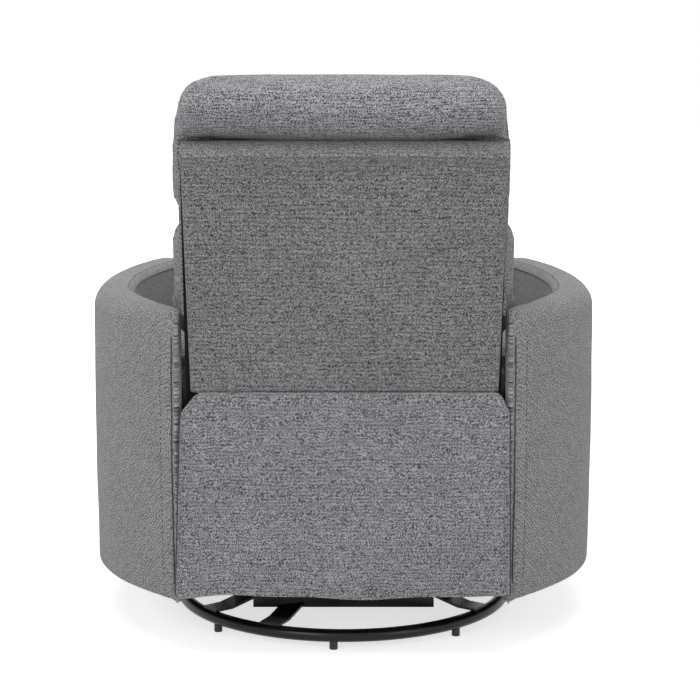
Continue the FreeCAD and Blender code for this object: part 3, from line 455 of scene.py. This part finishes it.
# %% Arm shells
def drop_at_end(distance, reach):
    """How far a rolled end sinks below the top, for a distance from that end."""
    if distance >= reach:
        return 0.0
    return reach * (1 - math.sqrt(max(0.0, 1 - ((reach - distance) / reach) ** 2)))


def bell(distance, width):
    """1 at a distance of 0, fading over a width."""
    return math.exp(-(distance / width) ** 2)


def arm_surface(side):
    """Grid of arm points, one list for each section, with UVs in metres."""
    sign = 1 if side == "left" else -1
    length = rows[-1][2]
    grid, flat = [], []
    for outer, inner, gone in rows:
        top = ARM_TOP - drop_at_end(gone, 0.045) - drop_at_end(length - gone, 0.02)
        across = outer - inner
        width = across.length
        across.normalize()
        ring, run = [], [0.0]
        for a, z in arm_section(width, top):
            p = inner + across * a + Vector((0, 0, z))
            out = across * (a / width - 0.5) * 2
            roll = 0.0011 * noise.noise(p * 14 + Vector((sign * 7, 0, 0)))
            low = max(0.0, 1 - (z - ARM_BOTTOM) / 0.07)
            rear = max(0.0, 1 - (length - gone) / 0.09)
            gather = 0.0028 * low * rear * math.sin(gone / 0.0045 + z * 30)
            swell = 0.002 * math.sin(math.pi * min(max((z - ARM_BOTTOM) / (top - ARM_BOTTOM), 0), 1))
            p += out * (roll + gather + (swell - 0.001 if a > width * 0.5 else 0.0))
            p.z += 0.002 * bell((a / width - 0.45), 0.35) * (z > top - 0.004)
            ring.append(p)
        for p, q in zip(ring, ring[1:] + ring[:1]):
            run.append(run[-1] + (q - p).length)
        grid.append([Vector((p.x * sign, p.y, p.z)) for p in ring])
        flat.append([(gone, v) for v in run])
    return grid, flat


def arm_shell(side):
    """The upholstered arm as one closed loft."""
    grid, flat = arm_surface(side)
    count = len(grid[0])
    points = [p for ring in grid for p in ring]
    faces, uvs = [], []
    for i in range(len(grid) - 1):
        for k in range(count):
            a, b = i * count + k, i * count + (k + 1) % count
            quad = (a, b, b + count, a + count)
            corners = [flat[i][k], flat[i][k + 1], flat[i + 1][k + 1], flat[i + 1][k]]
            if side == "right":
                quad, corners = quad[::-1], corners[::-1]
            faces.append(quad)
            uvs += corners
    for i, forward in ((0, -0.004), (len(grid) - 1, 0.004)):
        ring = grid[i]
        middle = sum(ring, Vector()) / count
        step = (grid[1][0] - grid[0][0]).normalized() if i == 0 else (grid[-1][0] - grid[-2][0]).normalized()
        start = len(points)
        points += [p.lerp(Vector((middle.x, middle.y, p.z)), 0.55) + step * forward for p in ring]
        for k in range(count):
            a, b = i * count + k, i * count + (k + 1) % count
            c, d = start + (k + 1) % count, start + k
            quad = (a, b, c, d) if (i == 0) == (side == "right") else (d, c, b, a)
            faces.append(quad)
            uvs += [(rows[i][2], points[p].z) for p in quad]
        lid = tuple(range(start, start + count))
        lid = lid if (i == 0) == (side == "right") else lid[::-1]
        faces.append(lid)
        uvs += [(rows[i][2], points[p].z) for p in lid]
    return make_piece("arm_upholstery_" + side, points, faces, arm_cloth[side], uvs)


arms = {}
for side in ("left", "right"):
    shell = arm_shell(side)
    tidy_normals(shell)
    shell.modifiers.new("soften", "SUBSURF").levels = 1
    settle_modifiers(shell)
    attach(shell, "chassis")
    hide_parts("arm_cover_" + side)
    arms[side] = shell
print("arms:", {side: len(shell.data.polygons) for side, shell in arms.items()}, "faces")

# %% [markdown]
# ## Seams and stitches
#
# A seam is two things: the valley where two cloths meet, and a row of
# stitches beside it. The valley's shade is painted: a thin dark cord sunk into the surface.
# The stitches are short dashes of thread, one every 10 mm, set
# just proud of the cloth. Real thread is 0.5 mm thick, here 1.2 mm, so that
# it shows.

# %% Thread finish and stitch rows
def spun_thread(name, deep, pale):
    """Polyester thread: two plies twisted together, a turn every 2 mm."""
    material = new_finish(name)
    place = add_node(material, "TexCoord").outputs["Object"]
    ply = add_node(material, "TexNoise", {"Vector": place, "Scale": 1 / 0.002, "Detail": 1.0}).outputs[0]
    tone = two_tone(material, ply, deep, pale)
    thread = add_node(material, "BsdfPrincipled", {"Base Color": tone, "Roughness": 0.8, "Sheen Weight": 0.1})
    add_node(material, "OutputMaterial", {"Surface": thread.outputs[0]})
    return material


# This dark thread finish serves the real stitches and also the cords that are painted shade: seam valleys and the
# slits beside the skirt.
dark_thread_and_shade_cords = spun_thread("polyester_thread_dark_and_painted_shade", "#2c2d2f", "#4c4d50")


def walk(points, step):
    """Points every step metres along a row of points."""
    spots, left = [points[0].copy()], step
    for a, b in zip(points, points[1:]):
        length = (b - a).length
        at = left
        while at <= length:
            spots.append(a.lerp(b, at / length))
            at += step
        left = at - length
    return spots


def dashes(lines, radius=0.0006, repeat=0.010):
    """Points and faces of stitches: each covers half of one repeat."""
    marks = [walk(line, repeat / 4) for line in lines]
    return tubes([row[i:i + 3] for row in marks for i in range(0, len(row) - 3, 4)], radius, 5)


def stitch_row(name, lines, body):
    """Stitches along each line, as one piece."""
    piece = make_piece(name, *dashes(lines), dark_thread_and_shade_cords)
    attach(piece, body)
    return piece


def painted_shade_seam_cord(name, lines, body, radius=0.0013):
    """A dark sunk cord along each line: painted shade for a seam's valley."""
    piece = make_piece(name, *tubes(lines, radius, 6), dark_thread_and_shade_cords)
    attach(piece, body)
    return piece


inner_edge, outer_line, rear_edge = [], [], []
for side in ("left", "right"):
    grid, _ = arm_surface(side)
    inner_edge.append([ring[17] + Vector((0, 0, -0.001)) for ring in grid[5:-3]])
    outer_line.append([ring[20] + Vector((0, 0, 0.0004)) for ring in grid[6:-4]])
    rear_edge.append([[p + Vector((0, 0.0006, 0)) for p in grid[row][30:47]] for row in (-2, -6)])
# The cords along the arms' inner seams and rear edges are painted shade for the seam valleys.
painted_shade_seam_cord("arm_inner_seam_painted_shade", inner_edge + [pair[0] for pair in rear_edge], "chassis")
stitch_row("arm_rim_topstitch", outer_line + [pair[1] for pair in rear_edge], "chassis")
print("arm seams:", [len(line) for line in inner_edge])

# %% [markdown]
# ## The outer back
#
# The back's rear is a separate upholstered panel, hung on the posts. It is
# flat but for a slight crown, its upright edges are rolled, and its top is a
# thicker roll that catches the light. A fine welt follows the upright edges.
# It lies on a plane that leans 9.6 degrees, so it is made in that plane's
# own measures: across, up along the lean, and behind.

# %% Lean plane
LEAN = math.radians(9.6)
HINGE = Vector((0.0, 0.150, 0.372))
UP_LEAN = Vector((0.0, math.sin(LEAN), math.cos(LEAN)))
BEHIND = Vector((0.0, math.cos(LEAN), -math.sin(LEAN)))


def on_back(across, up, behind):
    """A point in the back's own measures, in metres."""
    return HINGE + Vector((across, 0, 0)) + UP_LEAN * up + BEHIND * behind


def back_measures(p):
    """(across, up, behind) of a point."""
    d = p - HINGE
    return p.x, d.dot(UP_LEAN), d.dot(BEHIND)


panel_low, panel_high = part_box("outer_back_panel")
print("panel node:", [round(v, 4) for v in panel_low], [round(v, 4) for v in panel_high])

# %% Back panel
PANEL_FOOT, PANEL_HEAD, PANEL_FACE = 0.1015, 0.514, 0.1668
LIP, LIP_DROP, LIP_SWELL = 0.013, 0.026, 0.016


def panel_half(share, side):
    """Half width at a share of the height: a touch wider at the top."""
    return (0.2495 + 0.0075 * share) if side > 0 else (0.2530 + 0.0070 * share)


def rolled(distance, radius):
    """How far a rolled edge falls away at a distance in from the edge."""
    if distance >= radius:
        return 0.0
    return radius * (1 - math.sqrt(max(0.0, 1 - ((radius - distance) / radius) ** 2)))


def spaced(count, edge):
    """Shares from 0 to 1, closer together near both ends."""
    ends = [edge * (1 - math.cos(math.pi / 2 * k / 6)) for k in range(6)]
    middle = [edge + (1 - 2 * edge) * k / count for k in range(count + 1)]
    return ends + middle + [1 - v for v in reversed(ends)]


def back_panel():
    """The rear panel: a crowned face with rolled edges, turned in round the posts."""
    columns, levels = spaced(30, 0.045), spaced(26, 0.05)
    points, faces, uvs = [], [], []
    for v in levels:
        up = PANEL_FOOT + (PANEL_HEAD - PANEL_FOOT) * v
        wide_l, wide_r = panel_half(v, 1), panel_half(v, -1)
        for u in columns:
            across = -wide_r + (wide_l + wide_r) * u
            side = min(across + wide_r, wide_l - across)
            head, foot = PANEL_HEAD - up, up - PANEL_FOOT
            welt = 0.0020 * math.exp(-((side - 0.0095) / 0.0022) ** 2)
            crown = 0.0035 * math.sin(math.pi * u) * math.sin(math.pi * min(v * 1.1, 1))
            behind = (PANEL_FACE - 0.0035 - rolled(side, 0.008) - LIP_DROP * max(0.0, 1 - head / LIP) ** 1.3
                      + LIP_SWELL * bell(head - 0.012, 0.014) - rolled(foot, 0.006)
                      + crown + welt + 0.0012 * noise.noise(Vector((across * 9, up * 7, 3))))
            sag = 0.0022 * math.sin(math.pi * u) * v**6
            points.append(on_back(across, up + sag, behind))
    wide, high = len(columns), len(levels)
    rim = ([k for k in range(wide)] + [wide * j + wide - 1 for j in range(1, high)]
           + [wide * (high - 1) + k for k in range(wide - 2, -1, -1)]
           + [wide * j for j in range(high - 2, 0, -1)])
    for j in range(high - 1):
        for k in range(wide - 1):
            faces.append((j * wide + k, j * wide + k + 1, (j + 1) * wide + k + 1, (j + 1) * wide + k))
    for depth in (0.018, 0.036):
        start = len(points)
        for k in rim[:] if depth == 0.018 else range(start - len(rim), start):
            across, up, behind = back_measures(points[k])
            points.append(on_back(across * 0.997, up, min(PANEL_FACE - 0.009 - depth, behind - 0.004)))
        ring = rim if depth == 0.018 else list(range(start - len(rim), start))
        for k in range(len(rim)):
            n = (k + 1) % len(rim)
            faces.append((ring[n], ring[k], start + k, start + n))
    faces.append(tuple(range(len(points) - len(rim), len(points))))
    return make_piece("outer_back_upholstery", points, faces, panel_cloth)


panel = back_panel()
tidy_normals(panel)
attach(panel, "back")
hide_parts("outer_back_panel")
print("back panel:", len(panel.data.polygons), "faces")

# %% [markdown]
# The posts between the rear panel and the pillows are covered too. A strip
# of the same cloth is stapled behind the pillows, goes round each post, and
# ends under the panel. Only its outer turn shows, beside the panel. It stops
# above the steel arms of the hinge.

# %% Back side covers
def side_covers():
    """A thin C-shaped cover round each post, thickened inward."""
    turn = [(0.206, 0.1176), (0.2525, 0.1176), (0.2572, 0.1186), (0.2598, 0.1212), (0.2607, 0.1250),
            (0.2609, 0.1340), (0.2600, 0.1390), (0.2560, 0.1415), (0.2475, 0.1420)]
    levels = [0.228 + 0.288 * k / 40 for k in range(41)]
    points, faces = [], []
    for sign in (1, -1):
        for up in levels:
            slack = 0.0008 * noise.noise(Vector((sign * 3, up * 22, 0.5)))
            base = len(points)
            points += [on_back(sign * (across + slack), up, behind) for across, behind in turn]
            if up != levels[-1]:
                for k in range(len(turn) - 1):
                    quad = (base + k, base + k + 1, base + k + 1 + len(turn), base + k + len(turn))
                    faces.append(quad if sign > 0 else quad[::-1])
    piece = make_piece("back_side_covers", points, faces, panel_cloth)
    skin = piece.modifiers.new("cloth_thickness", "SOLIDIFY")
    skin.thickness, skin.offset = 0.002, 1.0
    settle_modifiers(piece)
    return piece


covers = side_covers()
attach(covers, "back")
print("side covers:", len(covers.data.polygons), "faces")

# %% [markdown]
# ## Cushions
#
# A cushion is a bag full of foam and fibre: it swells between its seams and
# is held at them. So each one starts as its CAD shape, a little smaller, is
# remeshed into even quads, and blown up by the cloth simulation with
# gravity off. Seam lines are pinned, which gives the pull between swollen
# faces. A cap keeps each point near its home, so that the cushion still
# fits its neighbours.

# %% Plumping helper
def cushion_copy(node_name, name, voxel, shrink):
    """A remeshed, slightly smaller copy of a soft CAD node."""
    piece = bpy.data.objects.new(name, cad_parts[node_name].data.copy())
    scene.collection.objects.link(piece)
    weld = piece.modifiers.new("weld", "WELD")
    weld.merge_threshold = 0.0002
    remesh = piece.modifiers.new("even_quads", "REMESH")
    remesh.mode = "VOXEL"
    remesh.voxel_size = voxel
    settle_modifiers(piece)
    ease = piece.modifiers.new("ease", "SMOOTH")
    ease.factor, ease.iterations = 0.5, 3
    settle_modifiers(piece)
    for vertex, normal in [(v, v.normal.copy()) for v in piece.data.vertices]:
        vertex.co -= normal * shrink
    return piece


def plump(piece, seam_pull, pressure, cap):
    """Swells a piece; seam_pull(point) is 1 on a seam and 0 away from it."""
    home = [v.co.copy() for v in piece.data.vertices]
    held = piece.vertex_groups.new(name="seams")
    for vertex in piece.data.vertices:
        pull = seam_pull(vertex.co)
        if pull > 0.05:
            held.add([vertex.index], min(1.0, pull), "REPLACE")
    cloth = piece.modifiers.new("fill", "CLOTH")
    cloth.settings.quality = 4
    cloth.settings.mass = 0.3
    cloth.settings.tension_stiffness = cloth.settings.compression_stiffness = 12
    cloth.settings.bending_stiffness = 0.6
    cloth.settings.use_pressure = True
    cloth.settings.uniform_pressure_force = pressure
    cloth.settings.effector_weights.gravity = 0
    cloth.settings.vertex_group_mass = "seams"
    cloth.collision_settings.use_collision = False
    for moment in range(1, 21):
        scene.frame_set(moment)
    settle_modifiers(piece)
    scene.frame_set(1)
    for vertex, start in zip(piece.data.vertices, home):
        move = vertex.co - start
        if move.length > cap:
            vertex.co = start + move * (cap / move.length)
    piece.vertex_groups.clear()


def groove(piece, depth_at):
    """Sinks each point along its normal by depth_at(point), in metres."""
    for vertex, normal in [(v, v.normal.copy()) for v in piece.data.vertices]:
        vertex.co -= normal * depth_at(vertex.co)


def finish_cushion(piece, node_name, body, finish):
    """One subdivision, cloth finish, and its place in the frame."""
    piece.modifiers.new("soften", "SUBSURF").levels = 1
    settle_modifiers(piece)
    piece.data.materials.clear()
    piece.data.materials.append(finish)
    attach(piece, body)
    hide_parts(node_name)


print("cushions will be simulated")

# %% [markdown]
# ## Head and lumbar pillows
#
# The head pillow rolls over the top of the back and ends just above the
# rear panel. Its front and rear are one cloth, closed by a side piece, so a
# seam runs round it near each end, and one more runs along its crown. The
# lumbar pillow below it has the same side seams, and the two pinch together
# where they meet.

# %% Back pillows
GUSSET = 0.021                      # from a pillow's end to its side seam
TUCK_TOP, TUCK_REACH = 0.588, 0.075  # where the head pillow starts to turn in under itself
TUCK_IN, TUCK_DOWN = 0.020, 0.006
BULGE_Z, BULGE_Y, BULGE_OUT = 0.570, 0.160, 0.026  # the lumbar pillow's swell beside the panel


def back_pillow(node_name, name, crown_up):
    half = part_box(node_name)[1][0]
    piece = cushion_copy(node_name, name, 0.0055, 0.001)
    seam_at = half - GUSSET

    def on_seam(p):
        return bell(abs(p.x) - seam_at, 0.005)

    if node_name == "head_cushion":
        for vertex in piece.data.vertices:
            vertex.co.x *= 0.967 if vertex.co.x < 0 else 0.989
    plump(piece, on_seam, 2.2, 0.006)

    def depth(p):
        across, up, behind = back_measures(p)
        crown = 0.0
        if crown_up and behind > 0.05:
            crown = 0.0024 * bell(up - crown_up, 0.005) * max(0.0, 1 - (abs(across) / 0.2) ** 4)
        slow = 0.0016 * noise.noise(Vector((p.x * 8, p.y * 16, p.z * 18)))
        return 0.0028 * bell(abs(p.x) - seam_at, 0.0045) + crown + slow

    groove(piece, depth)
    for vertex in piece.data.vertices:
        across, up, behind = back_measures(vertex.co)
        if node_name == "head_cushion" and behind > 0.07:
            under = min(1.0, max(0.0, (TUCK_TOP - up) / TUCK_REACH)) * min(1.0, (behind - 0.07) / 0.04)
            vertex.co -= BEHIND * TUCK_IN * under**2 + UP_LEAN * TUCK_DOWN * under
        elif node_name == "lumbar_cushion" and abs(across) > 0.19:
            pushed = min(1.0, (abs(across) - 0.19) / 0.07) * bell(vertex.co.z - BULGE_Z, 0.046)
            crease = 0.0022 * math.sin(vertex.co.z / 0.0042 + vertex.co.y * 40)
            out = (BULGE_OUT + crease) * pushed * bell(vertex.co.y - BULGE_Y, 0.046)
            vertex.co.x += math.copysign(out, across)
    finish_cushion(piece, node_name, "back", pillow_cloth)
    return piece


head = back_pillow("head_cushion", "head_pillow", 0.587)
lumbar = back_pillow("lumbar_cushion", "lumbar_pillow", None)
for piece in (head, lumbar):
    print(piece.name, len(piece.data.polygons), "faces")

# %% [markdown]
# ## Seat cushion and footrest pad
#
# The seat is a box cushion: a top and a bottom panel joined by a band that
# goes round it. Two seams follow the band. The footrest pad is thinner and
# wraps its board, and when it is closed it hides the folding linkage.

# %% Seat and footrest
def boxed_cushion(node_name, name, body, seam_depth, shrink, cap, voxel, levels):
    piece = cushion_copy(node_name, name, voxel, shrink)

    def near_seam(p):
        return max(bell(p[levels[0]] - at, 0.005) for at in levels[1])

    plump(piece, near_seam, 3.0, cap)

    def depth(p):
        slow = 0.0018 * noise.noise(Vector((p.x * 7, p.y * 9, p.z * 14)))
        return seam_depth * max(bell(p[levels[0]] - at, 0.004) for at in levels[1]) + slow

    groove(piece, depth)
    finish_cushion(piece, node_name, body, pillow_cloth if body == "seat" else skirt_cloth)
    return piece


seat_low, seat_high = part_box("seat_cushion")
seat = boxed_cushion("seat_cushion", "seat_pad", "seat", 0.0028, 0.006, 0.011, 0.0065,
                     (2, (seat_low[2] + 0.022, seat_high[2] - 0.026)))
pad_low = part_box("footrest_pad")[0]
footrest = boxed_cushion("footrest_pad", "footrest_upholstery", "footrest", 0.002, 0.004, 0.007, 0.0055,
                         (1, (pad_low[1] + 0.016,)))
print("seat", len(seat.data.polygons), "faces; footrest", len(footrest.data.polygons), "faces")

# %% [markdown]
# Under the seat cushion's front edge, a narrow band of the cover is drawn
# over the seat frame's front rail. It closes the view to the mechanism
# between the cushion and the footrest.

# %% Front rail cover
def front_rail_cover():
    """A thin band on the front rail, as wide as the room between the footrest's bars."""
    line = smooth_through([(-0.2250, -0.3480, 0), (-0.2200, -0.3490, 0), (0, -0.3500, 0),
                           (0.2200, -0.3490, 0), (0.2250, -0.3480, 0)], [3, 26, 26, 3])
    levels = [0.3742, 0.3760, 0.3790, 0.3830, 0.3880, 0.3915, 0.3935]
    points, faces = [], []
    for k, p in enumerate(line):
        ahead = (line[min(k + 1, len(line) - 1)] - line[max(k - 1, 0)]).normalized()
        out = Vector((ahead.y, -ahead.x, 0))
        for level in levels:
            bulge = 0.0016 * math.sin(math.pi * (level - levels[0]) / (levels[-1] - levels[0]))
            points.append(p + out * (bulge + 0.0005 * noise.noise(p * 30)) + Vector((0, 0, level)))
        if k:
            a = (k - 1) * len(levels)
            b = a + len(levels)
            faces += [(a + i, b + i, b + i + 1, a + i + 1) for i in range(len(levels) - 1)]
    piece = make_piece("seat_front_rail_cover", points, faces, skirt_cloth)
    skin = piece.modifiers.new("cloth_thickness", "SOLIDIFY")
    skin.thickness, skin.offset = 0.003, 1.0
    settle_modifiers(piece)
    tidy_normals(piece)
    return piece


rail_cover = front_rail_cover()
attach(rail_cover, "seat")
print("front rail cover:", len(rail_cover.data.polygons), "faces")

# %% [markdown]
# ## The skirt
#
# A flap of the same cloth closes the rear below the panel and hides the
# mechanism. It is a hung sheet: sewn along its top under the panel's foot,
# wider below its two notched corners, and free at the hem, which waves a
# little. Its upright edges are rolled and stitched, and each ends in a small
# tail. Just outside and behind each edge, a dark cord is painted shadow for
# the slit between the skirt and the arm. The back's foot swings forward over
# it when the chair reclines, so the cloth crumples towards its hem.

# %% Skirt outline and folds
SKIRT_TOP = 0.4475
SKIRT_EDGE = {1: [(0.2370, 0.4460), (0.2635, 0.4130), (0.2665, 0.3300), (0.2735, 0.1040)],
              -1: [(0.2530, 0.4460), (0.2685, 0.4150), (0.2690, 0.3300), (0.2710, 0.1040)]}


def skirt_half(z, side):
    """Half width of the skirt at a height."""
    line = SKIRT_EDGE[side]
    for (x0, z0), (x1, z1) in zip(line, line[1:]):
        if z >= z1:
            return x0 + (x1 - x0) * (z0 - z) / (z0 - z1)
    return line[-1][0]


def skirt_face(x, z):
    """Y of the skirt's outer face: leaning out to the hem, with soft folds."""
    drop = (SKIRT_TOP - z) / 0.3365
    lean = 0.3300 + 0.0215 * drop
    left = math.exp(-((x + 0.2585) / 0.0045) ** 2)
    fold = 0.0032 * left * min(1, drop * 1.6)
    waves = 0.0022 * drop * (math.sin(x * 23 + 0.8) + 0.6 * math.sin(x * 47 + z * 6))
    slow = 0.003 * noise.noise(Vector((x * 7, z * 9, 1.7))) * min(1, drop * 3)
    return lean + fold + waves + slow


def hem_height(x):
    """The hem rises and falls by a few millimetres."""
    return 0.1095 + 0.0032 * math.sin(x * 16 - 0.9) + 0.0014 * math.sin(x * 41)


def skirt():
    """The hung sheet with its rolled edges and tails, as one piece."""
    wide, high = 84, 60
    points, faces = [], []
    for j in range(high + 1):
        share = j / high
        for k in range(wide + 1):
            u = 2 * k / wide - 1
            top_z = SKIRT_TOP
            z = top_z + (0.1095 - top_z) * share
            x = u * skirt_half(z, 1 if u > 0 else -1)
            z = top_z + (hem_height(x) - top_z) * share
            points.append(Vector((x, skirt_face(x, z), z)))
    for j in range(high):
        for k in range(wide):
            a = j * (wide + 1) + k
            faces.append((a, a + 1, a + wide + 2, a + wide + 1))
    return make_piece("rear_skirt", points, faces, skirt_cloth)


flap = skirt()
tidy_normals(flap)
thick = flap.modifiers.new("cloth_thickness", "SOLIDIFY")
thick.thickness, thick.offset = 0.0024, 0.0
settle_modifiers(flap)
flap.modifiers.new("soften", "SUBSURF").levels = 1
settle_modifiers(flap)
print("skirt:", len(flap.data.polygons), "faces")

# %% Skirt edges, hem and tails
def join_to(piece, points, faces, finish):
    """Adds more geometry to a piece, in a finish of its own."""
    base = len(piece.data.materials)
    extra = make_piece(piece.name + "_extra", points, faces, finish)
    work = bmesh.new()
    work.from_mesh(piece.data)
    before = len(work.faces)
    work.from_mesh(extra.data)
    work.faces.ensure_lookup_table()
    for face in work.faces[before:]:
        face.material_index = base
        face.smooth = True
    work.to_mesh(piece.data)
    work.free()
    piece.data.materials.append(finish)
    bpy.data.objects.remove(extra)


upright_edges = []
for side in (1, -1):
    line = []
    for k in range(61):
        z = 0.443 + (0.099 - 0.443) * k / 60
        x = side * skirt_half(max(z, 0.108), side)
        line.append(Vector((x, skirt_face(x, max(z, 0.108)) + 0.0006 - 0.01 * max(0, 0.108 - z), z)))
    upright_edges.append(line)
hem = [Vector((x, skirt_face(x, hem_height(x)) + 0.0004, hem_height(x)))
       for x in (-0.270 + 0.5425 * k / 80 for k in range(81))]
edge_points, edge_faces = tubes(upright_edges, 0.0021, 8)
hem_points, hem_faces = tubes([hem], 0.0019, 8)
join_to(flap, edge_points + hem_points,
        edge_faces + [tuple(k + len(edge_points) for k in face) for face in hem_faces], skirt_cloth)

# Dark cords just outside and behind each upright edge: painted shadow for the slit between the skirt and the arm.
shadow_slit_cords = [[Vector((side * (skirt_half(z, side) + 0.0030), skirt_face(side * skirt_half(z, side), z) - 0.0022, z))
             for z in (0.410 - 0.300 * k / 60 for k in range(61))] for side in (1, -1)]
join_to(flap, *tubes(shadow_slit_cords, 0.0015, 6), dark_thread_and_shade_cords)

hem_line = [Vector((x, skirt_face(x, hem_height(x) + 0.011) + 0.0013, hem_height(x) + 0.011))
            for x in (-0.262 + 0.525 * k / 120 for k in range(121))]
side_lines = [[Vector((side * (skirt_half(z, side) - 0.0065),
                       skirt_face(side * (skirt_half(z, side) - 0.0065), z) + 0.0013, z))
               for z in (0.408 - 0.296 * k / 60 for k in range(61))] for side in (1, -1)]
join_to(flap, *dashes([hem_line] + side_lines, radius=0.0005), dark_thread_and_shade_cords)
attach(flap, "chassis")
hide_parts("skirt")
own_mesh(flap)
print("skirt with edges:", len(flap.data.polygons), "faces")

# %% [markdown]
# ## Floor, world and light
#
# The floor is a plain pale sheet. Camera rays see it brighter than its
# lighting makes it, so that it reads as a white studio sweep, while the
# chair's own soft shadow stays on it. The world is white for rays that
# the eye follows straight, off gloss or through glass, and dimmer for the
# light it gives, so colours come out about as they are written.

# %% Studio floor
def studio_floor(name):
    """Pale paint, lifted to white only for the eye and for reflections."""
    material = new_finish(name)
    path = add_node(material, "LightPath").outputs
    seen = path["Is Camera Ray"]
    for ray in ("Is Glossy Ray", "Is Transmission Ray"):
        seen = add_node(material, "Math", {0: seen, 1: path[ray]}, operation="MAXIMUM").outputs[0]
    place = add_node(material, "TexCoord").outputs["Object"]
    grit = add_node(material, "TexNoise", {"Vector": place, "Scale": 1 / 0.4, "Detail": 2.0}).outputs[0]
    tone = two_tone(material, grit, "#dededc", "#e6e6e4")
    paint = add_node(material, "BsdfDiffuse", {"Color": tone})
    away = add_node(material, "VectorMath", {0: place}, operation="LENGTH").outputs["Value"]
    far = add_node(material, "MapRange", {"Value": away, "From Min": 0.7, "From Max": 2.2,
                                          "To Min": 0.68, "To Max": 1.0}).outputs[0]
    lift = add_node(material, "Math", {0: seen, 1: far}, operation="MULTIPLY").outputs[0]
    glow = add_node(material, "Emission", {"Color": linear("#ffffff"), "Strength": lift})
    both = add_node(material, "AddShader", {0: paint.outputs[0], 1: glow.outputs[0]})
    add_node(material, "OutputMaterial", {"Surface": both.outputs[0]})
    return material


FLOOR_HALF, FLOOR_Z = 14, -0.0005
corners = [(x * FLOOR_HALF, y * FLOOR_HALF, FLOOR_Z) for x, y in ((-1, -1), (1, -1), (1, 1), (-1, 1))]
floor = make_piece("studio_floor", corners, [(0, 1, 2, 3)], studio_floor("matt_white_floor_paint"))
print("floor down")

# %% World and lamps
world = bpy.data.worlds.new("white_studio")
world.use_nodes = True
scene.world = world
tree = world.node_tree
tree.nodes.clear()
path = tree.nodes.new("ShaderNodeLightPath").outputs
level = None
for ray in ("Is Camera Ray", "Is Glossy Ray", "Is Transmission Ray"):
    if level is None:
        level = path[ray]
        continue
    either = tree.nodes.new("ShaderNodeMath")
    either.operation = "MAXIMUM"
    tree.links.new(level, either.inputs[0])
    tree.links.new(path[ray], either.inputs[1])
    level = either.outputs[0]
strength = tree.nodes.new("ShaderNodeMapRange")
strength.inputs["To Min"].default_value = 0.48
strength.inputs["To Max"].default_value = 1.0
tree.links.new(level, strength.inputs["Value"])
sky = tree.nodes.new("ShaderNodeBackground")
sky.inputs["Color"].default_value = linear("#ffffff")
tree.links.new(strength.outputs[0], sky.inputs["Strength"])
tree.links.new(sky.outputs[0], tree.nodes.new("ShaderNodeOutputWorld").inputs["Surface"])


def softbox(name, place, target, size, watts):
    """A square area lamp aimed at a point."""
    lamp = bpy.data.lights.new(name, "AREA")
    lamp.shape, lamp.size, lamp.energy = "SQUARE", size, watts
    holder = bpy.data.objects.new(name, lamp)
    scene.collection.objects.link(holder)
    holder.location = place
    holder.rotation_euler = (Vector(target) - Vector(place)).to_track_quat("-Z", "Y").to_euler()
    return holder


softbox("overhead_softbox", (0.2, 0.6, 3.2), (0, 0, 0.5), 2.4, 44)
softbox("rear_key_softbox", (1.9, 3.8, 2.2), (0, 0.2, 0.5), 1.8, 40)
softbox("rear_fill_softbox", (-2.6, 3.2, 1.4), (0, 0.2, 0.45), 1.8, 19)
softbox("front_fill_softbox", (-0.8, -3.6, 2.2), (0, 0, 0.5), 2.2, 16)
scene.view_settings.view_transform = "Standard"
